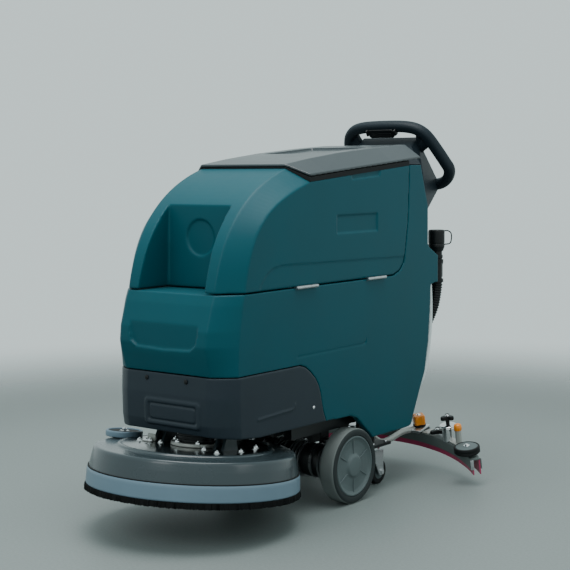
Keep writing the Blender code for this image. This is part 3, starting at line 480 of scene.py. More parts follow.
def make_light(name, at, target, size, power):
    light = bpy.data.lights.new(name, "AREA")
    light.shape, light.size, light.energy = "SQUARE", size, power
    holder = bpy.data.objects.new(name, light)
    bpy.context.scene.collection.objects.link(holder)
    holder.location = at
    holder.rotation_euler = (Vector(target) - Vector(at)).to_track_quat("-Z", "Y").to_euler()


def make_studio():
    make_light("top_box", (0.1, -0.3, 3.2), (0, 0, 0.5), 2.4, 110)
    make_light("front_box", (0.2, -3.6, 2.6), (0, -0.2, 0.5), 1.4, 22)
    make_light("side_box", (3.6, 0.4, 1.9), (0, 0.1, 0.5), 1.4, 10)
    world = bpy.data.worlds.new("studio")
    bpy.context.scene.world = world
    world.use_nodes = True
    sky = world.node_tree.nodes["Background"]
    sky.inputs["Color"].default_value = (0.64, 0.755, 0.755, 1)
    sky.inputs["Strength"].default_value = 1.18
    floor = raw("floor", turned([(0, -0.002), (4.0, -0.002), (4.0, 0.0), (0, 0.0)], 96))
    floor.data.materials.append(FLOOR)
    fade_out(FLOOR)


def fade_out(mat):
    """The floor's rim melts into the pale surroundings."""
    tree = mat.node_tree
    coords = tree.nodes.new("ShaderNodeTexCoord")
    flat = tree.nodes.new("ShaderNodeVectorMath")
    flat.operation = "LENGTH"
    link(tree, coords.outputs["Object"], flat.inputs[0])
    edge = tree.nodes.new("ShaderNodeMapRange")
    edge.interpolation_type = "SMOOTHSTEP"
    edge.inputs["From Min"].default_value, edge.inputs["From Max"].default_value = 1.1, 3.6
    link(tree, flat.outputs["Value"], edge.inputs["Value"])
    clear = tree.nodes.new("ShaderNodeBsdfTransparent")
    mix = tree.nodes.new("ShaderNodeMixShader")
    link(tree, edge.outputs["Result"], mix.inputs["Fac"])
    link(tree, tree.nodes["Principled BSDF"].outputs["BSDF"], mix.inputs[1])
    link(tree, clear.outputs["BSDF"], mix.inputs[2])
    link(tree, mix.outputs["Shader"], tree.nodes["Material Output"].inputs["Surface"])


# ---- body mouldings ----
def shoulder_z(y):
    """Height of the recovery tank's side edge, where the lid's rim rests."""
    return 0.889 + LID_SLOPE * (y + 0.085)


NOSE_MIDDLE = bezier((-0.411, TANK_Z), (-0.379, 0.792), (-0.267, 0.8816), (-0.124, 0.9245), 28)
NOSE_SIDE = bezier((-0.355, TANK_Z), (-0.3233, 0.798), (-0.2474, 0.8387), (-0.085, 0.889), 28)
RIDGE = [(-0.124, 0.9365), (-0.02, 0.9515), (0.12, 0.9675), (0.3, 0.982), (0.452, 0.991)]
SEAM = [(0.394, 0.929), (0.386, 0.773), (0.365, 0.652), (0.345, 0.631), (0.312, TANK_Z)]
COVER_REAR = [(-0.134, 0.412), (-0.111, 0.405), (-0.089, 0.39), (-0.067, 0.37), (-0.054, 0.351),
              (-0.045, 0.328), (-0.041, 0.309), (-0.033, 0.277), (-0.021, 0.249)]


def make_recovery_tank():
    top_middle = [(y, z - LID_T) for y, z in RIDGE[1:4]] + [(0.394, 0.9755)]
    top_side = [(y, shoulder_z(y)) for y, _ in RIDGE[1:4]] + [(0.394, shoulder_z(0.394))]
    shell = raw("recovery_tank_shell", chamfered(NOSE_MIDDLE + top_middle + SEAM[1:],
                                                 NOSE_SIDE + top_side + SEAM[1:], HALF_FACE, HALF_WIDTH))
    wall = 0.009
    nose = bezier((-0.401, TANK_Z + wall), (-0.369, 0.788), (-0.262, 0.872), (-0.12, 0.912), 10)
    cheek = bezier((-0.346, TANK_Z + wall), (-0.314, 0.794), (-0.242, 0.829), (-0.082, 0.878), 10)
    rear = [(0.3765, 0.773), (0.356, 0.655), (0.34, 0.64), (0.312, TANK_Z + wall)]
    hollow = raw("hollow", chamfered(nose + [(0.384, 0.962)] + rear, cheek + [(0.384, 0.917)] + rear, 0.142,
                                     0.186))
    combine(hollow, block((-0.124, -0.5, 0.55), (0.124, -0.285, 0.846)))
    combine(hollow, block((-0.115, -0.06, 0.86), (0.115, 0.34, 1.05)), "UNION")
    boolean = shell.modifiers.new("hollow", "BOOLEAN")
    boolean.object = hollow
    apply_all(shell)
    bpy.data.objects.remove(hollow)
    # hand pocket in the nose, with a shallow round recess in its back wall
    outline = ((-0.115, 0.58), (-0.107, 0.836), (0.107, 0.836), (0.115, 0.58))
    combine(shell, slab(outline, -0.5, -0.295))
    disc = turned([(0, -0.004), (0.048, -0.004), (0.048, 0.004), (0, 0.004)], 48, (0, -0.2945, 0.749), "Y")
    combine(shell, disc)
    for side in (1, -1):
        # label recess, lower relief and finger notch on each flank
        near, far = sorted((side * 0.1945, side * 0.25))
        combine(shell, block((near, 0.034, 0.748), (far, 0.231, 0.799)))
        notch = [(0.1, 0.95), (0.106, 0.8925), (0.24, 0.9015), (0.26, 0.95)]
        combine(shell, flank(notch, side, 0.1935, 0.25))
        relief = [(-0.3, 0.6), (-0.294, 0.632), (-0.272, 0.658), (-0.243, 0.675), (-0.202, 0.681),
                  (-0.061, 0.678), (0.42, 0.669), (0.42, 0.6)]
        combine(shell, flank(relief, side, 0.1962, 0.25))
    soften(shell, 0.003, 4, 0.45)
    settle(shell, TEAL, "tank", nodes=["recovery_tank"], sharp=0)


def make_lower_body():
    front_middle = [(-0.426, 0.4136), (-0.44, 0.461), (-0.446, 0.488), (-0.442, 0.527), (-0.422, 0.59),
                    (-0.411, SPLIT_Z)]
    front_side = [(-0.386, 0.4136), (-0.383, 0.461), (-0.381, 0.488), (-0.376, 0.527), (-0.364, 0.59),
                  (-0.355, SPLIT_Z)]
    seam = [(0.3125, SPLIT_Z), (0.347, 0.6285), (0.3675, 0.651), (0.3885, 0.773), (0.3965, 0.931)]
    rear_side = [(0.456, 0.931), (0.495, 0.813), (0.497, 0.76), (0.495, 0.7), (0.505, 0.688),
                 (0.552, 0.662), (0.552, 0.582), (0.513, 0.577), (0.511, 0.53), (0.499, 0.411),
                 (0.48, 0.323), (0.436, 0.239), (0.403, 0.169)]
    rear_middle = [(y + 0.014, z) for y, z in rear_side[:-1]] + [rear_side[-1]]
    bottom = [(0.371, 0.1655), (0.204, 0.1655), (0.194, 0.177), (0.16, 0.205), (0.13, 0.232),
              (0.101, 0.243), (-0.018, 0.2475)]
    notch = [(y + 0.0016, z + 0.0016) for y, z in COVER_REAR[::-1]]
    body = raw("solution_tank_shell", chamfered(front_middle + seam + rear_middle + bottom + notch,
                                                front_side + seam + rear_side + bottom + notch, HALF_FACE,
                                                HALF_WIDTH, 0.22))
    combine(body, block((-0.165, -0.185, 0.258), (0.165, 0.318, 0.75)))
    nose_hollow = [(-0.405, 0.4), (-0.424, 0.488), (-0.42, 0.53), (-0.396, 0.604), (-0.205, 0.604),
                   (-0.205, 0.4)]
    combine(body, prism(nose_hollow, -0.135, 0.135))
    column = [(0.4085, 0.97), (0.447, 0.97), (0.452, 0.925), (0.486, 0.81), (0.487, 0.7), (0.512, 0.685),
              (0.544, 0.655), (0.544, 0.59), (0.503, 0.586), (0.499, 0.53), (0.487, 0.411), (0.468, 0.323),
              (0.43, 0.262), (0.334, 0.262), (0.334, 0.6), (0.378, 0.655), (0.4, 0.773)]
    combine(body, prism(column, -0.175, 0.175))
    combine(body, block((-0.18, 0.075, 0.1), (0.18, 0.394, 0.249)))
    # shallow U-shaped panel that carries the nose pocket's sides down and round
    panel = [(-0.118, 0.64), (-0.116, 0.52), (-0.11, 0.492), (-0.092, 0.478), (0.0, 0.474), (0.092, 0.478),
             (0.11, 0.492), (0.116, 0.52), (0.118, 0.64)]
    combine(body, slab(panel, -0.52, -0.4375))
    for side in (1, -1):
        # crease along the flank, turned up at its rear end
        crease = [(-0.146, 0.4385), (0.155, 0.4395), (0.168, 0.445), (0.1715, 0.461), (0.174, 0.461),
                  (0.174, 0.438), (0.16, 0.4345), (-0.146, 0.4335)]
        combine(body, flank(crease, side, 0.1955, 0.25))
    soften(body, 0.003, 3, 0.45)
    settle(body, TEAL, "chassis", nodes=["solution_tank"], sharp=0)


def rounded_rect(centre, size, corner):
    """A rounded rectangle of (a, b) points."""
    points, steps = [], 5
    for k, (sa, sb) in enumerate(((1, 1), (-1, 1), (-1, -1), (1, -1))):
        for i in range(steps + 1):
            angle = pi / 2 * (k + i / steps)
            points.append((centre[0] + sa * (size[0] / 2 - corner) + corner * cos(angle),
                           centre[1] + sb * (size[1] / 2 - corner) + corner * sin(angle)))
    return points


def make_front_cover():
    front_middle = [(-0.427, 0.262), (-0.432, 0.29), (-0.433, 0.36), (-0.43, 0.412)]
    front_side = [(-0.376, 0.258), (-0.38, 0.29), (-0.381, 0.36), (-0.38, 0.412)]
    bottom = [(-0.3, 0.25)]
    cover = raw("front_cover_shell", chamfered(front_middle + COVER_REAR + bottom,
                                               front_side + COVER_REAR + bottom, HALF_FACE - 0.01,
                                               HALF_WIDTH + 0.002, 0.5))
    inner_middle = [(-0.423, 0.2), (-0.423, 0.5), (0.05, 0.5), (0.05, 0.2)]
    inner_side = [(-0.37, 0.2), (-0.37, 0.5), (0.05, 0.5), (0.05, 0.2)]
    combine(cover, chamfered(inner_middle, inner_side, HALF_FACE - 0.016, HALF_WIDTH - 0.007, 0.5))
    # raised frame with a raised field inside it
    for size, corner, low_y, high_y, operation in (
            ((0.186, 0.066), 0.01, -0.4352, -0.425, "UNION"),
            ((0.166, 0.048), 0.006, -0.5, -0.4318, "DIFFERENCE"),
            ((0.15, 0.034), 0.005, -0.4345, -0.425, "UNION")):
        combine(cover, slab(rounded_rect((0.02, 0.3125), size, corner), low_y, high_y), operation)
    for side in (1, -1):
        rib = [(-0.312, 0.2945), (-0.168, 0.3005), (-0.16, 0.305), (-0.157, 0.317), (-0.16, 0.3175),
               (-0.164, 0.3075), (-0.17, 0.304), (-0.312, 0.2985)]
        combine(cover, flank(rib, side, 0.1975, 0.2016), "UNION")
    soften(cover, 0.0024, 4, 0.5)
    settle(cover, COVER, "chassis", nodes=["front_cover"], sharp=0)


def make_lid():
    top = RIDGE
    low = [(y, z - LID_T + 0.0056) for y, z in RIDGE]
    ys = [-0.085] + [y for y, _ in RIDGE[1:]]
    side_low = [(y, shoulder_z(y) + 0.0148) for y in ys]
    side_top = [(y, shoulder_z(y) + 0.021) for y in ys]
    lid = raw("lid_shell", chamfered(low + top[::-1], side_low + side_top[::-1], HALF_FACE, 0.199))
    # shallow tray sunk in the top
    combine(lid, prism([(0.095, 0.9553), (0.335, 0.9747), (0.335, 0.9812), (0.095, 0.9618)], -0.112, 0.112),
            "UNION")
    combine(lid, prism([(0.103, 0.9582), (0.327, 0.9764), (0.327, 1.02), (0.103, 1.02)], -0.104, 0.104))
    soften(lid, 0.0022, 3, 0.5)
    settle(lid, LID, "lid", nodes=["lid"], sharp=0)


def make_bodies():
    make_recovery_tank()
    make_lower_body()
    make_front_cover()
    make_lid()


# ---- handle and console, drawn on the loop's leaning plane: x across, y out, z up the plane ----
PANEL = SHIFT @ Matrix.Translation((0, *HANDLE_TOP)) @ Matrix.Rotation(LEAN, 4, "X")
PANEL_OUT = 0.0186                      # the control panel's face, out of the handle's plane
START_AT, WATER_AT, STOP_AT = (-0.055, 0, -0.105), (-0.02, 0, -0.105), (0.055, 0, -0.19)
KEY_AT, SPEED_AT, DISPLAY_AT = (-0.058, 0, -0.195), (0, 0, -0.19), (0.04, -0.112)
LOOP = [(0.108, 0.23), (0.14, 0.222), (0.163, 0.207), (0.177, 0.187), (0.181, 0.168), (0.176, 0.15),
        (0.166, 0.118), (0.155, 0.086), (0.146, 0.063), (0.136, 0.046), (0.119, 0.031), (0.096, 0.022),
        (0.06, 0.017)]


def flat_bar(path, half_out, half_thick):
    """A bar of rounded square section along (x, down) points of the handle's plane."""
    power, sides = 0.75, 20
    route = smooth_route([(x, 0, -down) for x, down in path], 0.006)
    outlines = []
    for i, p in enumerate(route):
        ahead = (route[min(i + 1, len(route) - 1)] - route[max(i - 1, 0)]).normalized()
        across = Vector((-ahead.z, 0, ahead.x))
        outline = []
        for k in range(sides):
            c, s = cos(2 * pi * k / sides), sin(2 * pi * k / sides)
            a = half_thick * abs(c) ** power * (1 if c > 0 else -1)
            b = half_out * abs(s) ** power * (1 if s > 0 else -1)
            outline.append(p + across * a + Vector((0, b, 0)))
        outlines.append(outline)
    return rows(outlines)


def loop_point(x, down, out):
    """A point of the handle's plane in machine coordinates."""
    return Matrix.Translation((0, *HANDLE_TOP)) @ Matrix.Rotation(LEAN, 4, "X") @ Vector((x, out, -down))


def console_solid(inset=0.0, foot_out=0.0):
    points = []
    for y, z in ((0.515, 0.8 + inset), (0.475, 0.933 - inset)):
        points += [Vector((side * (0.186 - inset), y - foot_out, z)) for side in (-1, 1)]
    for half, down, out in ((0.1, 0.066 + inset, inset - 0.034), (0.098, 0.062 + inset, 0.012 - inset),
                            (0.1185, 0.245 - inset, 0.016 - inset)):
        points += [loop_point(side * (half - inset), down, out) for side in (-1, 1)]
    return shape(points, [[0, 1, 3, 2], [2, 3, 5, 4], [4, 5, 7, 6], [6, 7, 9, 8], [8, 9, 1, 0],
                          [0, 2, 4, 6, 8], [1, 3, 5, 7, 9]])


def make_handle():
    path = LOOP + [(0, 0.0155)] + [(-x, s) for x, s in LOOP[::-1]]
    bar = raw("handle_moulding", flat_bar(path, 0.0172, 0.0168))
    for side in (1, -1):
        strut = [(0.148 * side, 0.058), (0.13 * side, 0.076), (0.11 * side, 0.09), (0.088 * side, 0.108)]
        combine(bar, flat_bar(strut, 0.0135, 0.0155), "UNION")
        gusset = [(side * x, z) for x, z in ((0.15, -0.062), (0.11, -0.034), (0.096, -0.09),
                                             (0.128, -0.098))]
        combine(bar, slab(gusset, -0.008, 0.008), "UNION")
    soften(bar, 0.0026, 5, 0.6)
    settle(bar, DARK, "chassis", PANEL, ["handle"], 0)
    for side in (1, -1):
        low_x, high_x = sorted((0.047 * side, 0.054 * side))
        piece(f"throttle_pivot_{'left' if side > 0 else 'right'}",
              block((low_x, -0.029, -0.034), (high_x, -0.012, -0.014), 0.003), BLACK, "chassis", PANEL)


def make_console():
    console = raw("console_moulding", console_solid())
    combine(console, console_solid(0.02, 0.034))
    for side in (1, -1):
        # hollow that leaves a finger slot beside the loop
        slot = [(0.128, -0.094), (0.146, -0.094), (0.166, -0.16), (0.158, -0.205), (0.132, -0.208),
                (0.126, -0.15)]
        combine(console, slab([(side * x, z) for x, z in slot], -0.3, -0.012))
    soften(console, 0.0028, 5, 0.5)
    settle(console, DARK, "chassis", nodes=["console"], sharp=0)


def make_panel():
    plate = rounded_rect((0, -0.1515), (0.172, 0.147), 0.012)
    panel = raw("panel_plate", slab(plate, 0.015, PANEL_OUT))
    window = rounded_rect(DISPLAY_AT, (0.07, 0.04), 0.005)
    combine(panel, slab(window, PANEL_OUT - 0.0012, 0.05))
    for x, _, z in (START_AT, WATER_AT, STOP_AT):
        combine(panel, turned([(0.0121, -0.01), (0.0121, 0.01)], 40, (x, PANEL_OUT, z), "Y"))
    ease(panel, 0.0008)
    settle(panel, BLACK, "chassis", PANEL, ["control_panel"])
    glass = rounded_rect(DISPLAY_AT, (0.069, 0.039), 0.0045)
    piece("display_glass", slab(glass, 0.0168, 0.018), GLASS, "chassis", PANEL)
    bars = [block((0.014 + 0.009 * k, 0.018, -0.12), (0.02 + 0.009 * k, 0.0183, -0.108 + 0.0012 * k))
            for k in range(6)]
    piece("display_bars", merged(bars), LED, "chassis", PANEL)
    edges = (((0.078, 0.048), 0.008, -0.0006), ((0.078, 0.048), 0.008, 0.0012),
             ((0.07, 0.04), 0.005, 0.0012), ((0.07, 0.04), 0.005, -0.0006))
    border = [[(x, PANEL_OUT + out, z) for x, z in rounded_rect(DISPLAY_AT, size, corner)]
              for size, corner, out in edges]
    piece("display_border", rows(border, ring=True), DARK, "chassis", PANEL)


def make_panel_marks():
    """Rings round the buttons, lamps, the speed scale and the panel's screws."""
    ring = [(0.0123, 0.0182), (0.0152, 0.0182), (0.015, 0.0198), (0.014, 0.0206), (0.0126, 0.0202)]
    rings = [turned(ring, 48, at, "Y", ring=True) for at in (START_AT, WATER_AT, STOP_AT)]
    lamp = [(0.0022, 0.018), (0.0022, 0.0194), (0.0012, 0.02), (0, 0.0201)]
    lamps = [turned(lamp, 20, at, "Y") for at in ((-0.055, 0, -0.084), (-0.02, 0, -0.084),
                                                  (-0.058, 0, -0.219))]
    piece("button_rings", merged(rings), CHROME, "chassis", PANEL)
    piece("panel_lamps", merged(lamps), LED, "chassis", PANEL)
    scale = [block((-0.0008, 0.0182, 0.0185), (0.0008, 0.0189, 0.0225)) for _ in range(11)]
    for k, tick in enumerate(scale):
        bmesh.ops.rotate(tick, cent=(0, 0, 0), matrix=Matrix.Rotation(radians(-135 + 27 * k), 3, "Y"),
                         verts=tick.verts)
        bmesh.ops.translate(tick, vec=SPEED_AT, verts=tick.verts)
    piece("speed_scale", merged(scale), PALE, "chassis", PANEL)
    corners = [turned([(0.0034, 0.0182), (0.0032, 0.0196), (0.0018, 0.0202), (0, 0.0202)], 20,
                      (sx * 0.078, 0, -0.1515 + sz * 0.0655), "Y") for sx in (-1, 1) for sz in (-1, 1)]
    piece("panel_screws", merged(corners), STEEL, "chassis", PANEL)


def make_buttons():
    face = 0.019
    cap = [(0.0112, face - 0.003), (0.0112, face + 0.0048), (0.0098, face + 0.0062), (0.006, face + 0.0056),
           (0, face + 0.0052)]
    for name, at, mat in (("start_button", START_AT, GREEN), ("water_button", WATER_AT, BLUE)):
        piece(f"{name}_cap", turned(rounded_profile(cap, 0.001), 48, at, "Y"), mat, name, PANEL, [name])
    stop = [(0.01, face + 0.001), (0.01, face + 0.0095), (0.0185, face + 0.0115), (0.0192, face + 0.015),
            (0.0185, face + 0.0195), (0.013, face + 0.0235), (0.006, face + 0.0245), (0, face + 0.0248)]
    piece("stop_mushroom", turned(rounded_profile(stop, 0.002), 56, STOP_AT, "Y"), RED, "emergency_stop",
          PANEL, ["emergency_stop"])
    collar = [(0.016, 0.0184), (0.0235, 0.0184), (0.0232, 0.0196), (0.0165, 0.02)]
    piece("stop_collar", turned(collar, 56, STOP_AT, "Y", ring=True), ORANGE, "chassis", PANEL)


def make_key_and_speed_knob():
    barrel = [(0.0112, 0.0188), (0.0112, 0.024), (0.01, 0.0252), (0.0062, 0.0254), (0.0058, 0.0262),
              (0, 0.0262)]
    piece("key_barrel", turned(rounded_profile(barrel, 0.0008), 40, KEY_AT, "Y"), CHROME, "key_switch",
          PANEL, ["key_switch"])
    bow = rounded_rect((KEY_AT[0], KEY_AT[2]), (0.0045, 0.02), 0.002)
    piece("key_bow", slab(bow, 0.0262, 0.0392), BLACK, "key_switch", PANEL, bevel=0.0008)
    sides, outlines = 96, []
    for y, radius, wave in ((0.0189, 0.016, 0.0), (0.021, 0.0158, 0.0006), (0.031, 0.0145, 0.0009),
                            (0.0328, 0.0132, 0.0003), (0.0332, 0.0115, 0.0)):
        outline = []
        for k in range(sides):
            angle = 2 * pi * k / sides
            r = radius + wave * cos(16 * angle)
            outline.append((r * cos(angle), y, r * sin(angle) + SPEED_AT[2]))
        outlines.append(outline)
    piece("speed_grip", rows(outlines), DARK, "speed_knob", PANEL, ["speed_knob"])
    piece("speed_pointer", block((-0.0009, 0.033, -0.1885), (0.0009, 0.0338, -0.178)), PALE, "speed_knob",
          PANEL)


def make_throttle():
    paddle = rounded_rect((0, -0.027), (0.092, 0.028), 0.008)
    piece("throttle_blade", slab(paddle, -0.0262, -0.022), BLACK, "throttle_paddle", PANEL,
          ["throttle_paddle"], bevel=0.0014)
    ribs = [block((-0.036, -0.0274, z), (0.036, -0.0258, z + 0.002), 0.0006)
            for z in (-0.037, -0.032, -0.027)]
    piece("throttle_ribs", merged(ribs), RUBBER, "throttle_paddle", PANEL)


# ---- brush deck: drawn level round its own axis, heights above the bristle tips ----
ROLLER_AT = (-0.237, -0.022, 0)


def hex_bolt(at, radius=0.0055, height=0.0045, washer=0.0085, stud=0.004):
    """A washer, a six-sided head and a short stud standing on a surface."""
    parts = [turned([(0, 0), (washer, 0), (washer, 0.0012), (0, 0.0012)], 28, at)]
    head = [(0, 0.0012), (radius, 0.0012), (radius, height), (radius * 0.86, height + 0.001),
            (0, height + 0.001)]
    parts.append(turned(head, 6, at))
    if stud:
        top = height + stud
        parts.append(turned([(0, height), (radius * 0.45, height), (radius * 0.45, top), (0, top)], 16, at))
    return merged(parts)


def make_deck_pressing():
    outer = [(0.272, 0.0592), (0.2668, 0.088), (0.2622, 0.107), (0.259, 0.1125), (0.254, 0.114),
             (0.209, 0.1152), (0.205, 0.1162), (0.201, 0.1205), (0.197, 0.1215), (0.193, 0.121),
             (0.19, 0.1192), (0.08, 0.1196), (0.05, 0.1205)]
    inner = [(0.05, 0.1125), (0.235, 0.1085), (0.254, 0.1), (0.2625, 0.0592)]
    housing = turned(rounded_profile(outer, 0.0025, 3) + inner, 160, ring=True)
    parts = [housing]
    for side in (1, -1):
        for x in (0.086, 0.112):
            lug = [(-0.03, 0.118), (-0.016, 0.16), (-0.01, 0.166), (0.01, 0.166), (0.016, 0.16),
                   (0.03, 0.118)]
            parts.append(flank(lug, side, x, x + 0.008))
    boss = [(0, 0.108), (0.034, 0.108), (0.03, 0.115), (0.022, 0.1162), (0, 0.1162)]
    parts.append(turned(rounded_profile(boss, 0.002), 56, ROLLER_AT))
    piece("deck_pressing", merged(parts), DECK_PAINT, "deck", DECK, ["deck_housing"], sharp=35)
    top = [(0.066, 0.119), (0.189, 0.119), (0.188, 0.1202), (0.066, 0.1204)]
    piece("deck_top_sheet", turned(top, 128, ring=True), DECK_TOP, "deck", DECK)


def make_deck_fittings():
    places = ((0.077, 0.04), (0.075, -0.052), (0.135, 0.0767), (0.12, 0.1017), (0.134, -0.07),
              (0.15, 0.005))
    bolts = [hex_bolt((side * x, y, 0.12)) for side in (1, -1) for x, y in places]
    piece("deck_bolts", merged(bolts), CHROME, "deck", DECK)
    bracket = [block((-0.126, -0.068, 0.1202), (-0.098, -0.046, 0.1226), 0.001),
               block((-0.126, -0.0485, 0.122), (-0.098, -0.046, 0.14), 0.001)]
    piece("deck_bracket", merged(bracket), PALE_METAL, "deck", DECK)
    piece("bracket_bolts", merged([hex_bolt((-0.119, -0.06, 0.1226)), hex_bolt((-0.105, -0.06, 0.1226))]),
          CHROME, "deck", DECK)
    buffer = rounded_profile([(0, 0.1202), (0.015, 0.1202), (0.016, 0.13), (0.013, 0.14), (0, 0.142)],
                             0.002)
    piece("deck_buffer", merged([turned(buffer, 36, (side * 0.058, 0.082, 0)) for side in (-1, 1)]), RUBBER,
          "deck", DECK)


def make_skirt():
    skirt = [(0.2745, 0.0588), (0.264, 0.0588), (0.265, 0.0172), (0.2768, 0.0172), (0.2782, 0.02),
             (0.2778, 0.026), (0.2766, 0.05), (0.2756, 0.0572)]
    piece("skirt_ring", turned(rounded_profile(skirt, 0.002), 144, ring=True), SKIRT, "deck", DECK,
          ["splash_skirt"], sharp=50)
    grip_ring = [(0.2722, 0.059), (0.2748, 0.059), (0.2748, 0.0618), (0.2722, 0.0618)]
    piece("skirt_trim", turned(grip_ring, 128, ring=True), RUBBER, "deck", DECK)


def make_brush_motor():
    flange = [(0.047, 0.1207), (0.064, 0.1207), (0.065, 0.122), (0.0645, 0.129), (0.063, 0.13),
              (0.0505, 0.1302)]
    piece("motor_flange", turned(rounded_profile(flange, 0.001), 72, ring=True), PALE_METAL, "deck", DECK)
    motor = [(0, 0.101), (0.047, 0.101), (0.047, 0.129), (0.05, 0.132)]
    for k in range(9):
        z = 0.138 + 0.0085 * k
        motor += [(0.05, z), (0.0475, z + 0.001), (0.0475, z + 0.004), (0.05, z + 0.005)]
    motor += [(0.049, 0.215), (0.043, 0.2195), (0, 0.221)]
    piece("gear_motor", turned(motor, 72), FRAME_PAINT, "deck", DECK, ["brush_motor"])
    angles = [2 * pi * k / 6 + 0.3 for k in range(6)]
    nuts = [hex_bolt((0.0575 * cos(a), 0.0575 * sin(a), 0.1296)) for a in angles]
    piece("motor_bolts", merged(nuts), CHROME, "deck", DECK)


def make_bristle_curtain():
    random = np.random.default_rng(7)
    sides, tuft = 1080, []
    lean = random.normal(0, 0.0008, sides)
    drop = 0.0008 + random.random(sides) * 0.003
    for radius, height, spread in ((0.2706, 0.017, 0.2), (0.2782, 0.017, 0.2), (0.2788, 0.013, 0.8),
                                   (0.2799, 0.0, 1.0), (0.2738, 0.0, 1.0)):
        outline = []
        for k in range(sides):
            a = 2 * pi * k / sides
            r = radius + spread * lean[k] + (0.0007 if k % 2 else -0.0004) * spread
            z = height if height else drop[k]
            outline.append((r * cos(a), r * sin(a), z))
        tuft.append(outline)
    piece("bristle_curtain", rows(tuft, ring=True), BRISTLES, "deck", DECK, ["bristle_strip"],
          sharp=20)


def make_brush():
    plate = [(0, 0.044), (0.24, 0.044), (0.25, 0.0452), (0.249, 0.048), (0.242, 0.0518), (0.06, 0.052),
             (0.042, 0.0545), (0.031, 0.06), (0.03, 0.0995), (0, 0.0995)]
    piece("brush_plate", turned(rounded_profile(plate, 0.002), 96), BLACK, "brush", DECK)
    tufts, turns = [], [2 * pi * j / 7 for j in range(7)]
    for radius, count in ((0.1935, 54), (0.2085, 58), (0.2235, 62), (0.2385, 66)):
        for k in range(count):
            a = 2 * pi * (k + radius * 31 % 1) / count
            ca, sa = cos(a), sin(a)
            outlines = []
            for z, size, out in ((0.0445, 0.0042, 0.0), (0.024, 0.0046, 0.001), (0.0012, 0.0056, 0.004)):
                x, y = (radius + out) * ca, (radius + out) * sa
                outlines.append([(x + size * cos(b), y + size * sin(b), z) for b in turns])
            tufts.append(rows(outlines))
    piece("brush_tufts", merged(tufts), BRISTLES, "brush", DECK, ["scrub_brush"])


def make_deck_roller():
    rim = [(0.012, 0.124), (0.012, 0.117), (0.048, 0.117), (0.05, 0.1185), (0.0502, 0.13), (0.049, 0.133),
           (0.0465, 0.134), (0.044, 0.133), (0.043, 0.13), (0.02, 0.1295), (0.015, 0.131), (0.013, 0.131)]
    piece("guide_roller", turned(rounded_profile(rim, 0.0012, 2), 72, ROLLER_AT, ring=True), SKIRT,
          "deck_roller", DECK, ["deck_roller"])
    dish = [(0.015, 0.1301), (0.0432, 0.1304), (0.0425, 0.1308), (0.0155, 0.1314)]
    piece("guide_roller_dish", turned(dish, 56, ROLLER_AT, ring=True), RUBBER, "deck_roller", DECK)
    bolt = hex_bolt((*ROLLER_AT[:2], 0.1312), 0.0072, 0.006, 0.012, 0.003)
    piece("guide_roller_bolt", bolt, CHROME, "deck", DECK)


# ---- wheels, axle, casters ----
def make_wheels():
    for side, label in ((1, "left"), (-1, "right")):
        body = f"wheel_{label}"
        inner, outer, bead, big = 0.1607, 0.2107, 0.0845, AXLE_Z
        at = (0, AXLE_Y, AXLE_Z)
        tread = [(bead, inner), (0.098, inner), (0.1015, inner + 0.001), (big - 0.0006, inner + 0.004),
                 (big, inner + 0.01), (big, outer - 0.01), (big - 0.0008, outer - 0.0045),
                 (0.1012, outer - 0.0024), (0.0975, outer - 0.0014), (bead, outer - 0.004)]
        tread = [(r, x * side) for r, x in rounded_profile(tread, 0.002)]
        wall = [(0.0843, outer - 0.0045), (0.0848, outer - 0.002), (0.0868, outer - 0.0008),
                (0.096, outer - 0.0002), (0.1, outer - 0.0012), (0.1024, outer - 0.003),
                (0.1, outer - 0.006)]
        wall = [(r, x * side) for r, x in rounded_profile(wall, 0.001, 2)]
        # the tyre's side ring takes the darker copy of the tread rubber, a painted shade
        piece(f"tyre_wall_painted_shade_{label}", turned(wall, 120, at, "X", ring=True), PAINTED_SHADE_TYRE_WALL, body, sharp=0)
        piece(f"tyre_ring_{label}", turned(tread, 120, at, "X", ring=True), TYRE, body, SHIFT,
              [f"tyre_{label}"], sharp=50)
        rim = [(0, inner - 0.002), (0.03, inner - 0.002), (0.03, inner + 0.01), (0.0841, inner + 0.01),
               (0.0841, outer - 0.003), (0.082, outer - 0.0012), (0.0785, outer - 0.0014),
               (0.0765, outer - 0.004), (0.07, outer - 0.0078), (0.056, outer - 0.0086),
               (0.036, outer - 0.0072), (0.032, outer - 0.005), (0.029, outer - 0.0012),
               (0.0255, outer + 0.0002), (0.012, outer + 0.0012), (0, outer + 0.0014)]
        rim = [(r, x * side) for r, x in rounded_profile(rim, 0.002)]
        hub = raw(f"hub_dish_{label}", turned(rim, 96, at, "X"))
        ribs = []
        for k in range(6):
            low_x, high_x = sorted((side * (outer - 0.01), side * (outer - 0.0056)))
            rib = block((low_x, -0.0013, 0.029), (high_x, 0.0013, 0.0745), 0.0006)
            turn = Matrix.Rotation(radians(60 * k), 3, "X")
            bmesh.ops.rotate(rib, cent=(0, 0, 0), matrix=turn, verts=rib.verts)
            bmesh.ops.translate(rib, vec=at, verts=rib.verts)
            ribs.append(rib)
        settle(hub, HUB, body, SHIFT, [f"hub_{label}"], 35)
        # the ribs take the lighter copy of the hub moulding, a painted highlight
        piece(f"hub_ribs_{label}", merged(ribs), HUB_RIB_HIGHLIGHT, body)


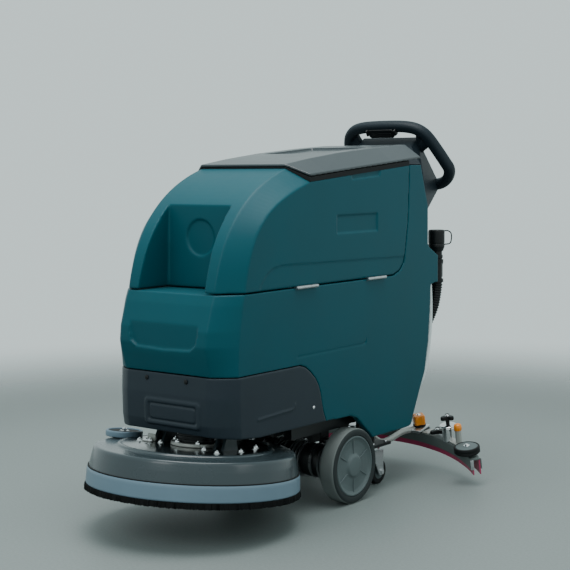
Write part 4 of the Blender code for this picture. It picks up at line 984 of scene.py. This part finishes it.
def make_transaxle():
    half = [(0.012, 0.158), (0.012, 0.1525), (0.029, 0.152), (0.03, 0.1505), (0.03, 0.143), (0.054, 0.143),
            (0.056, 0.141), (0.056, 0.123), (0.052, 0.12), (0.05, 0.118), (0.05, 0.108), (0.047, 0.104),
            (0.047, 0.06), (0.044, 0.058)]
    profile = half + [(r, -x) for r, x in half[::-1]]
    piece("transaxle_case", turned(profile, 72, (0, AXLE_Y, AXLE_Z), "X"), FRAME_PAINT, "chassis", SHIFT,
          ["transaxle"])
    bands = []
    for side in (1, -1):
        for radius, middle, wide in ((0.0582, 0.133, 0.005), (0.0585, 0.1215, 0.003),
                                     (0.034, 0.148, 0.0036), (0.05, 0.088, 0.004)):
            ring = [(radius - 0.009, (middle - wide) * side), (radius, (middle - wide) * side),
                    (radius, (middle + wide) * side), (radius - 0.009, (middle + wide) * side)]
            bands.append(turned(ring, 72, (0, AXLE_Y, AXLE_Z), "X", ring=True))
    piece("axle_bands", merged(bands), STEEL, "chassis")
    fins = []
    for x in (-0.05, -0.038, -0.026, -0.014, 0.011, 0.023, 0.035, 0.047):
        fin = [(0.046, x), (0.052, x), (0.052, x + 0.003), (0.046, x + 0.003)]
        fins.append(turned(fin, 64, (0, AXLE_Y, AXLE_Z), "X", ring=True))
    piece("axle_fins", merged(fins), CAST, "chassis")


def make_casters():
    radius = JOINTS["caster_left_roll"]["pos_m"][2]
    for side, label in ((1, "left"), (-1, "right")):
        x, y, roll_y = 0.125 * side, 0.3, 0.327
        at = (x, roll_y, radius)
        half = [(0.0225, -0.0112), (0.034, -0.0112), (radius - 0.0012, -0.01), (radius, -0.007),
                (radius, 0)]
        tread = half + [(r, -across) for r, across in half[:-1][::-1]]
        piece(f"caster_tyre_{label}", turned(rounded_profile(tread, 0.0015), 72, at, "X", ring=True),
              RUBBER, f"caster_wheel_{label}", SHIFT, [f"caster_wheel_{label}"])
        core = [(0, -0.0124), (0.008, -0.0124), (0.0095, -0.007), (0.02, -0.0066), (0.0224, -0.0108),
                (0.0224, 0.0108), (0.02, 0.0066), (0.0095, 0.007), (0.008, 0.0124), (0, 0.0124)]
        piece(f"caster_core_{label}", turned(core, 56, at, "X"), HUB, f"caster_wheel_{label}")
        nut = [(0, 0.0204), (0.0078, 0.0204), (0.0074, 0.0246), (0, 0.025)]
        ends = [turned([(r, out * h) for r, h in nut], 6, at, "X") for out in (-1, 1)]
        bearing = [(0.015, 0.1185), (0.0262, 0.1185), (0.0275, 0.115), (0.0275, 0.109), (0.0262, 0.1062),
                   (0.015, 0.104)]
        race = turned(rounded_profile(bearing, 0.001), 56, (x, y, 0), ring=True)
        piece(f"caster_fittings_{label}", merged(ends + [race]), CHROME, f"caster_{label}")


# ---- squeegee: drawn level ----
PORT_AT = (0, 0.596, 0)
MOUNT_X, CLAMP_X, HEIGHT_X, COLUMN_X, ROLLER_X = 0.105, 0.182, 0.236, 0.282, 0.345


def arc_point(x):
    """How far back the arc's middle line is at x."""
    return ARC_Y + sqrt(ARC_R ** 2 - x ** 2)


def arc_part(low, high, angle, bevel=0.001):
    """A block drawn across (x), outward (y) and up (z), set on the arc at an angle."""
    bm = block(low, high, bevel)
    bmesh.ops.translate(bm, vec=(0, ARC_R, 0), verts=bm.verts)
    bmesh.ops.rotate(bm, cent=(0, 0, 0), matrix=Matrix.Rotation(radians(-angle), 3, "Z"), verts=bm.verts)
    bmesh.ops.translate(bm, vec=(0, ARC_Y, 0), verts=bm.verts)
    return bm


def make_squeegee_bar():
    section = [(-0.016, 0.02), (-0.016, 0.0465), (-0.0148, 0.0488), (-0.0125, 0.05), (0.0125, 0.05),
               (0.0148, 0.0488), (0.016, 0.0465), (0.016, 0.017), (0.0126, 0.017), (0.0126, 0.0458),
               (-0.0126, 0.0458), (-0.0126, 0.02)]
    bar = raw("squeegee_casting", arc_bar([(ARC_R + r, z) for r, z in section], 96))
    combine(bar, turned([(0.018, 0.02), (0.018, 0.08)], 40, (0, 0.605, 0)))
    settle(bar, PLATE, "squeegee", SQUEEGEE, ["squeegee_bar"], 35)
    straps = [arc_bar([(ARC_R + r, z) for r, z in ((0.0161, 0.018), (0.0174, 0.018), (0.0174, 0.033),
                                                   (0.0161, 0.033))], 96, ARC_HALF - 1.0)]
    for angle in (-41, -27, -13, 13, 27, 41):
        straps.append(arc_part((-0.0075, 0.017, 0.0205), (0.0075, 0.0205, 0.0305), angle))
    for end in (-1, 1):
        straps.append(arc_part((-0.0012, -0.0176, 0.018), (0.0012, -0.008, 0.048), end * (ARC_HALF + 0.15),
                               bevel=0.0004))
    piece("squeegee_straps", merged(straps), STEEL, "squeegee", SQUEEGEE)
    front = arc_bar([(ARC_R + r, z) for r, z in ((-0.0176, 0.019), (-0.0162, 0.019), (-0.0162, 0.047),
                                                 (-0.0166, 0.05), (-0.0176, 0.047))], 96, ARC_HALF - 0.6)
    piece("squeegee_front_sheet", front, PLATE, "squeegee", SQUEEGEE)
    for label, radius in (("front", ARC_R - 0.0102), ("rear", ARC_R + 0.0102)):
        near, far = radius - 0.0016, radius + 0.0016
        blade = arc_bar([(near, 0.0008), (far, 0.0008), (far, 0.0452), (near, 0.0452)], 264)
        piece(f"blade_{label}", blade, BLADE, "squeegee", SQUEEGEE, [f"{label}_blade"])
    port = [(0.017, 0.0504), (0.0245, 0.0504), (0.0245, 0.055), (0.0225, 0.056)]
    for k in range(6):
        z = 0.06 + 0.0085 * k
        port += [(0.0225, z), (0.0233, z + 0.0012), (0.0233, z + 0.0032), (0.0225, z + 0.0044)]
    port += [(0.0225, 0.114), (0.0205, 0.115), (0.019, 0.115), (0.017, 0.108)]
    piece("port_spigot", turned(port, 56, PORT_AT, ring=True), BLACK, "squeegee", SQUEEGEE,
          ["suction_port"])


def make_squeegee_ends():
    for side, label in ((1, "left"), (-1, "right")):
        x, y = HEIGHT_X * side, arc_point(HEIGHT_X)
        post = [(0, 0.049), (0.02, 0.049), (0.02, 0.09), (0.0188, 0.093), (0.0188, 0.095), (0.025, 0.0955),
                (0.0255, 0.0975), (0.0235, 0.0995), (0.012, 0.1018), (0, 0.102)]
        piece(f"height_post_{label}", turned(rounded_profile(post, 0.001), 56, (x, y, 0)), CHROME,
              "squeegee", SQUEEGEE)
        column_at = (COLUMN_X * side, arc_point(COLUMN_X) + 0.004, 0)
        column = [(0, 0.0495), (0.0095, 0.0495), (0.0095, 0.096), (0, 0.096)]
        piece(f"side_column_{label}", turned(column, 36, column_at), PALE_METAL, "squeegee", SQUEEGEE)
        collar = [(0, 0.095), (0.0115, 0.095), (0.012, 0.105), (0.0105, 0.112), (0.006, 0.115), (0, 0.115)]
        piece(f"side_collar_{label}", turned(rounded_profile(collar, 0.001), 36, column_at), ORANGE,
              "squeegee", SQUEEGEE)
        links = [arc_part((-0.03, -0.013, 0.05), (0.025, 0.013, 0.0555), side * 28.6, bevel=0.002),
                 arc_part((-0.013, -0.02, 0.05), (0.013, 0.015, 0.056), side * 15.2, bevel=0.002)]
        piece(f"squeegee_brackets_{label}", merged(links), PALE_METAL, "squeegee", SQUEEGEE)
        x, y = ROLLER_X * side, arc_point(ROLLER_X) - 0.014
        core = [(0, 0.0505), (0.012, 0.0505), (0.012, 0.0572), (0.033, 0.0575), (0.033, 0.0755),
                (0.03, 0.0765), (0.011, 0.077), (0.01, 0.078), (0, 0.078)]
        piece(f"roller_core_{label}", turned(rounded_profile(core, 0.001), 56, (x, y, 0)), HUB,
              f"bumper_roller_{label}", SQUEEGEE)
        tyre = [(0.0325, 0.057), (0.036, 0.057), (0.038, 0.0592), (0.038, 0.0645), (0.0372, 0.0658),
                (0.038, 0.0671), (0.038, 0.0738), (0.0362, 0.0764), (0.0325, 0.0768)]
        piece(f"roller_tyre_{label}", turned(tyre, 72, (x, y, 0), ring=True), RUBBER,
              f"bumper_roller_{label}", SQUEEGEE, [f"bumper_roller_{label}"])
        piece(f"roller_bolt_{label}", hex_bolt((x, y, 0.0776), 0.005, 0.004, 0.009, 0.0), CHROME,
              f"bumper_roller_{label}", SQUEEGEE)
        make_squeegee_knobs(side, label)


def make_squeegee_knobs(side, label):
    x, y = MOUNT_X * side, arc_point(MOUNT_X)
    piece(f"mount_grip_{label}", lobed(4, 0.0165, 0.0218, 0.0692, 0.1, (x, y), 20, 0.0028), ORANGE,
          f"mount_knob_{label}", SQUEEGEE, [f"mount_knob_{label}"])
    foot = [(0, 0.0646), (0.02, 0.0646), (0.02, 0.07), (0, 0.07)]
    piece(f"mount_foot_{label}", turned(foot, 48, (x, y, 0)), BLACK, f"mount_knob_{label}", SQUEEGEE)
    piece(f"mount_stud_{label}", hex_bolt((x, y, 0.0995), 0.005, 0.0025, 0.0075, 0.0), CHROME,
          f"mount_knob_{label}", SQUEEGEE)
    seat = arc_part((-0.026, -0.022, 0.0502), (0.026, 0.022, 0.056), side * 11.0, bevel=0.003)
    piece(f"mount_seat_{label}", seat, BLACK, "squeegee", SQUEEGEE)
    for kind, at_x, inner, outer, low, high, stem, foot_z in (
            ("clamp", CLAMP_X, 0.0105, 0.025, 0.058, 0.069, 0.009, 0.0565),
            ("height", HEIGHT_X, 0.01, 0.0222, 0.116, 0.128, 0.006, 0.1026)):
        x, y = at_x * side, arc_point(at_x)
        body = f"{kind}_knob_{label}"
        parts = [lobed(3, inner, outer, low, high, (x, y), 24, 0.002),
                 turned([(0, foot_z), (stem, foot_z), (stem, low + 0.001), (0, low + 0.001)], 32,
                        (x, y, 0))]
        piece(f"{kind}_grip_{label}", merged(parts), BLACK, body, SQUEEGEE, [body])
        bolt = hex_bolt((x, y, high - 0.0006), 0.0042, 0.0026, 0.0062, 0.0)
        piece(f"{kind}_bolt_{label}", bolt, CHROME, body, SQUEEGEE)


def make_squeegee_arm():
    swing_y, half = 0.395, 0.0314
    barrel = rounded_profile([(0, -half), (0.011, -half), (0.011, half), (0, half)], 0.001)
    parts = [turned(barrel, 48, (0, LIFT_Y, LIFT_Z), "X"),
             block((-0.025, LIFT_Y + 0.004, 0.1062), (0.025, swing_y + 0.022, 0.1138), 0.002)]
    rod = [(0, LIFT_Y + 0.006), (0.0062, LIFT_Y + 0.006), (0.0062, swing_y), (0, swing_y)]
    parts += [turned(rod, 32, (side * 0.019, 0, 0.102), "Y") for side in (-1, 1)]
    parts.append(turned([(0, 0.113), (0.008, 0.113), (0.008, 0.1268), (0.013, 0.1268), (0.013, 0.131),
                         (0, 0.131)], 36, (0, swing_y, 0)))
    piece("lift_arm_weldment", merged(parts), STEEL, "squeegee_arm", SQUEEGEE, ["squeegee_lift_arm"])
    yoke = raw("yoke_plate", block((-0.019, swing_y - 0.022, 0.1144), (0.019, 0.56, 0.1224), 0.0022))
    combine(yoke, turned([(0.0084, 0.1), (0.0084, 0.14)], 32, (0, swing_y, 0)))
    more = [block((-0.019, 0.552, 0.064), (0.019, 0.56, 0.12), 0.0015),
            block((-0.13, 0.552, 0.0562), (0.13, 0.615, 0.0642), 0.002)]
    gussets = [flank([(0.52, 0.115), (0.5525, 0.115), (0.5525, 0.085)], side, 0.012, 0.016)
               for side in (-1, 1)]
    for part in more:
        combine(yoke, part, "UNION")
    combine(yoke, turned([(0.027, 0.04), (0.027, 0.08)], 48, PORT_AT))
    settle(yoke, STEEL, "squeegee", SQUEEGEE, ["squeegee_yoke"], 35)
    piece("yoke_gussets", merged(gussets), STEEL, "squeegee", SQUEEGEE)
    # bent tubes that tie the knobs' seats back to the yoke
    tubes = [tube([(side * 0.017, 0.416, 0.112), (side * 0.04, 0.418, 0.096), (side * 0.068, 0.424, 0.073),
                   (side * 0.081, 0.45, 0.068), (side * 0.086, 0.52, 0.068), (side * 0.096, 0.572, 0.06)],
                  0.0095, 28, 0.004) for side in (-1, 1)]
    piece("squeegee_tubes", merged(tubes), PALE_METAL, "squeegee", SQUEEGEE, sharp=50)


# ---- hoses, cap, levers ----
def make_drain_hose():
    x, y = 0.165, 0.597
    neck = [(0.015, 0.585), (0.0172, 0.585), (0.0172, 0.648), (0.0195, 0.65), (0.0195, 0.658),
            (0.0172, 0.66), (0.0172, 0.6698), (0.015, 0.6698)]
    bands = [[(0.0165, z), (0.0212, z), (0.0212, z + 0.01), (0.0165, z + 0.01)] for z in (0.576, 0.635)]
    parts = [turned(ring, 48, (x, y, 0), ring=True) for ring in [neck] + bands]
    parts += [block((x - 0.007, y + 0.012, 0.628), (x + 0.007, y + 0.029, 0.64), 0.002),
              block((x - 0.012, y + 0.004, 0.59), (x + 0.012, y + 0.0195, 0.634), 0.003)]
    piece("drain_neck", merged(parts), BLACK, "chassis")
    route = [(x, y, 0.587), (x, y, 0.56), (0.158, 0.588, 0.5), (0.14, 0.568, 0.44), (0.115, 0.548, 0.395),
             (0.09, 0.5345, 0.375)]
    piece("drain_corrugated", tube(route, 0.0185, 28, 0.00125, 0.003, 0.0075), BLACK, "chassis", SHIFT,
          ["drain_hose"], sharp=0)
    lid = [(0, 0.6704), (0.02, 0.6704), (0.025, 0.684), (0.025, 0.69), (0.024, 0.6915), (0.024, 0.6945),
           (0.025, 0.696), (0.025, 0.729), (0.0235, 0.734), (0.021, 0.735), (0, 0.735)]
    piece("drain_lid", turned(rounded_profile(lid, 0.0012), 64, (x, y, 0)), BLACK, "drain_cap", SHIFT,
          ["drain_cap"])
    bends = ((0.022, 0.7315), (0.036, 0.7312), (0.0455, 0.723), (0.046, 0.705), (0.041, 0.693),
             (0.022, 0.69))
    loop = [(x + 0.72 * out, y + 0.69 * out, up) for out, up in bends]
    piece("drain_tether", tube(loop, 0.0019, 16, 0.002), BLACK, "drain_cap")
    level = [(0.187, 0.522, 0.577), (0.188, 0.524, 0.52), (0.188, 0.523, 0.46), (0.187, 0.516, 0.4),
             (0.186, 0.504, 0.345), (0.184, 0.489, 0.3), (0.176, 0.47, 0.265)]
    piece("level_tube", tube(level, 0.007, 24, 0.004), CLEAR, "chassis", sharp=0)


def make_suction_hose():
    route = [(0, 0.5893, 0.1766), (0, 0.58, 0.225), (0, 0.574, 0.3), (0, 0.566, 0.4), (0, 0.554, 0.49),
             (0, 0.5466, 0.54), (0, 0.5464, 0.5755)]
    for name, points, bodies in (("suction_hose_lower", route[:3], ("squeegee", "squeegee_arm")),
                                 ("suction_hose_upper", route[2:], ("squeegee_arm", "chassis"))):
        hose = raw(name, tube(points, 0.019, 28, 0.00125, 0.0032, 0.0075))
        settle(hose, RUBBER, None, SHIFT, sharp=0)
        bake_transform(hose)
        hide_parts("suction_hose")
    cuff = [(0.015, 0.556), (0.0225, 0.556), (0.0225, 0.574), (0.0205, 0.5765), (0.015, 0.5765)]
    piece("hose_cuff", turned(rounded_profile(cuff, 0.001), 48, (0, 0.5464, 0), ring=True), BLACK,
          "chassis")
    clamp = [(0.0224, 0.115), (0.0236, 0.115), (0.0236, 0.106), (0.0224, 0.106)]
    piece("hose_clamp", turned(clamp, 48, PORT_AT, ring=True), STEEL, "squeegee", SQUEEGEE)


def make_levers():
    x, y, z = -0.11, 0.525, 0.712
    boss = turned(rounded_profile([(0, -0.118), (0.014, -0.118), (0.014, -0.102), (0, -0.102)], 0.0012), 40,
                  (0, y, z), "X")
    rod = tube([(x, y + 0.004, z + 0.004), (x, 0.562, 0.746), (x, 0.594, 0.773)], 0.0052, 20, 0.004)
    piece("squeegee_lever_rod", merged([boss, rod]), STEEL, "squeegee_lever", SHIFT, ["squeegee_lever"])
    grip = [(0, -0.1235), (0.0085, -0.1232), (0.012, -0.1205), (0.0128, -0.11), (0.012, -0.0995),
            (0.0085, -0.0968), (0, -0.0965)]
    piece("squeegee_lever_grip", turned(rounded_profile(grip, 0.002), 40, (0, 0.595, 0.774), "X"), ORANGE,
          "squeegee_lever")
    boss = turned(rounded_profile([(0, -0.097), (0.011, -0.097), (0.011, -0.073), (0, -0.073)], 0.0012), 40,
                  (0, 0.372, 0.14), "X")
    bar = prism([(0.366, 0.133), (0.366, 0.147), (0.448, 0.152), (0.5, 0.134), (0.498, 0.128),
                 (0.448, 0.144)], -0.0895, -0.0805)
    plate = block((-0.115, 0.47, 0.126), (-0.055, 0.505, 0.1345), 0.003)
    piece("deck_pedal_bar", merged([boss, bar, plate]), FRAME_PAINT, "deck_pedal", SHIFT, ["deck_pedal"],
          sharp=30)
    pads = [block((low, 0.4725, 0.134), (low + 0.006, 0.5025, 0.1362), 0.0008)
            for low in (-0.1135, -0.1045, -0.0775, -0.069, -0.0605)]
    piece("deck_pedal_pad", merged(pads), RUBBER, "deck_pedal")


# ---- inside: batteries, vacuum motor, float ----
MOTOR_AT, FLOAT_AT = (0, -0.095, 0), (0.06, 0.25, 0)


def make_batteries():
    posts, caps = [], []
    post = rounded_profile([(0, 0.4695), (0.009, 0.4695), (0.0085, 0.484), (0, 0.4842)], 0.0008)
    cap = rounded_profile([(0, 0.47), (0.0105, 0.47), (0.01, 0.4745), (0, 0.475)], 0.0008)
    for side, label in ((1, "left"), (-1, "right")):
        low_x, high_x = sorted((0.004 * side, 0.16 * side))
        case = raw(f"battery_case_{label}", block((low_x, 0.06, 0.2585), (high_x, 0.312, 0.456), 0.004))
        for y in np.arange(0.084, 0.3, 0.024):
            for x in (low_x, high_x):
                combine(case, block((x - 0.0016, y - 0.005, 0.285), (x + 0.0016, y + 0.005, 0.425), 0.0008))
        settle(case, BLACK, "chassis", SHIFT, [f"battery_{label}"], 35)
        top = block((low_x - 0.0008, 0.0595, 0.456), (high_x + 0.0008, 0.3125, 0.47), 0.0025)
        piece(f"battery_top_{label}", top, DARK, "chassis")
        caps += [turned(cap, 32, (0.112 * side, 0.13 + 0.056 * k, 0)) for k in range(3)]
        posts += [turned(post, 32, (0.082 * side, y, 0)) for y in (0.1, 0.272)]
    piece("battery_posts", merged(posts), CAST, "chassis")
    piece("battery_caps", merged(caps), BLACK, "chassis")
    lugs = [turned([(0.0088, 0.4755), (0.013, 0.4755), (0.013, 0.4795), (0.0088, 0.4795)], 32,
                   (0.082 * side, y, 0), ring=True) for side in (1, -1) for y in (0.1, 0.272)]
    piece("battery_lugs", merged(lugs), COPPER, "chassis")
    for name, mat, ends in (("battery_link", BLACK, [(0.082, 0.284, 0.4775), (0.06, 0.298, 0.486),
                                                     (0, 0.303, 0.49), (-0.06, 0.298, 0.486),
                                                     (-0.082, 0.284, 0.4775)]),
                            ("battery_lead_red", RED, [(0.082, 0.088, 0.4775), (0.08, 0.07, 0.49),
                                                       (0.06, 0.02, 0.5), (0.05, -0.02, 0.44),
                                                       (0.052, -0.04, 0.3)]),
                            ("battery_lead_black", BLACK, [(-0.082, 0.088, 0.4775), (-0.08, 0.07, 0.49),
                                                           (-0.06, 0.02, 0.5), (-0.05, -0.02, 0.44),
                                                           (-0.052, -0.04, 0.3)])):
        piece(name, tube(ends, 0.0055, 18, 0.004), mat, "chassis", sharp=0)


def make_suction_motor():
    motor = [(0, 0.2585), (0.06, 0.2585), (0.06, 0.266)]
    for k in range(6):
        z = 0.272 + 0.011 * k
        motor += [(0.06, z), (0.0575, z + 0.0012), (0.0575, z + 0.0052), (0.06, z + 0.0064)]
    motor += [(0.06, 0.34), (0.078, 0.345), (0.079, 0.348), (0.079, 0.402), (0.078, 0.405), (0.052, 0.418),
              (0.03, 0.42), (0.026, 0.425), (0.026, 0.45), (0.021, 0.45), (0.021, 0.43), (0, 0.43)]
    piece("suction_motor", turned(rounded_profile(motor, 0.0008, 2), 72, MOTOR_AT), CAST, "chassis", SHIFT,
          ["vacuum_motor"])
    band = [(0.0786, 0.368), (0.08, 0.368), (0.08, 0.383), (0.0786, 0.383)]
    piece("suction_motor_band", turned(band, 72, MOTOR_AT, ring=True), BLACK, "chassis")


def make_float():
    basket = [(0.04, 0.6288), (0.04, 0.6338), (0.034, 0.6338), (0.034, 0.747), (0.0325, 0.7488),
              (0.026, 0.7488), (0.026, 0.6288)]
    cage = raw("float_basket", turned(basket, 64, FLOAT_AT, ring=True))
    slots = []
    for k in range(8):
        slot = block((0.02, -0.005, 0.648), (0.045, 0.005, 0.734), 0.0015)
        bmesh.ops.rotate(slot, cent=(0, 0, 0), matrix=Matrix.Rotation(radians(45 * k + 22), 3, "Z"),
                         verts=slot.verts)
        bmesh.ops.translate(slot, vec=FLOAT_AT, verts=slot.verts)
        slots.append(slot)
    combine(cage, merged(slots))
    settle(cage, BLACK, "tank", SHIFT, ["float_cage"], 35)
    ball = [(0.0225 * sin(pi * k / 24), 0.654 - 0.0225 * cos(pi * k / 24)) for k in range(25)]
    ball[0], ball[-1] = (0, ball[0][1]), (0, ball[-1][1])
    piece("float_ball", turned(ball, 48, FLOAT_AT), ORANGE, "tank")


def make_trim():
    """The front cover's screws and the chassis' bolts."""
    dome = rounded_profile([(0, 0), (0.0062, 0), (0.006, 0.0016), (0.004, 0.003), (0, 0.0033)], 0.0006)
    for side, label in ((1, "left"), (-1, "right")):
        head = turned(dome, 28, (0, 0, 0), "Y")
        seat = Matrix.Translation((0.067 * side, -0.4317, 0.397))
        tilt = Matrix.Rotation(pi + radians(2.2), 4, "X")
        bmesh.ops.transform(head, matrix=seat @ tilt, verts=head.verts)
        piece(f"cover_screw_head_{label}", head, BLACK, "chassis", SHIFT, [f"cover_screw_{label}"])
    head = [(0, 0), (0.0048, 0), (0.0046, 0.0012), (0.0026, 0.0024), (0, 0.0026)]
    screws = [turned([(r, side * (0.1996 + h)) for r, h in head], 28, (0, -0.077, 0.294), "X")
              for side in (1, -1)]
    piece("cover_side_screws", merged(screws), CHROME, "chassis")
    under = [turned([(0, 0.2078), (0.007, 0.2078), (0.007, 0.2035), (0.006, 0.2022), (0, 0.2022)], 6,
                    (x, y, 0)) for x in (-0.115, 0, 0.115) for y in (0.16, 0.24, 0.345)]
    plates = [turned([(0, 0.1274), (0.005, 0.1274), (0.005, 0.131), (0.0042, 0.132), (0, 0.132)], 6,
                     (side * x, y, 0)) for side in (1, -1) for x in (0.092, 0.154) for y in (0.268, 0.332)]
    piece("chassis_bolts", merged(under + plates), STEEL, "chassis")


# ---- CAD nodes that keep their shape, with a finish and eased edges ----
def finish_cad():
    looks = ((STEEL, 0.0003, ["hinge_leaf_front", "hinge_leaf_rear", "tank_leaf_front", "tank_leaf_rear",
                              "caster_fork_left", "caster_fork_right"]),
             (FRAME_PAINT, 0.0015, ["chassis_frame", "deck_lift_arm"]), (RUBBER, 0.0005, ["lid_gasket"]))
    for mat, bevel, names in looks:
        for name in names:
            node = NODES[name]
            node.data.materials.clear()
            node.data.materials.append(mat)
            ease(node, bevel)


make_camera()
make_studio()
make_bodies()
make_handle()
make_console()
make_panel()
make_panel_marks()
make_buttons()
make_key_and_speed_knob()
make_throttle()
make_deck_pressing()
make_deck_fittings()
make_skirt()
make_brush_motor()
make_bristle_curtain()
make_brush()
make_deck_roller()
make_wheels()
make_transaxle()
make_casters()
make_squeegee_bar()
make_squeegee_ends()
make_squeegee_arm()
make_drain_hose()
make_suction_hose()
make_levers()
make_batteries()
make_suction_motor()
make_float()
make_trim()
finish_cad()
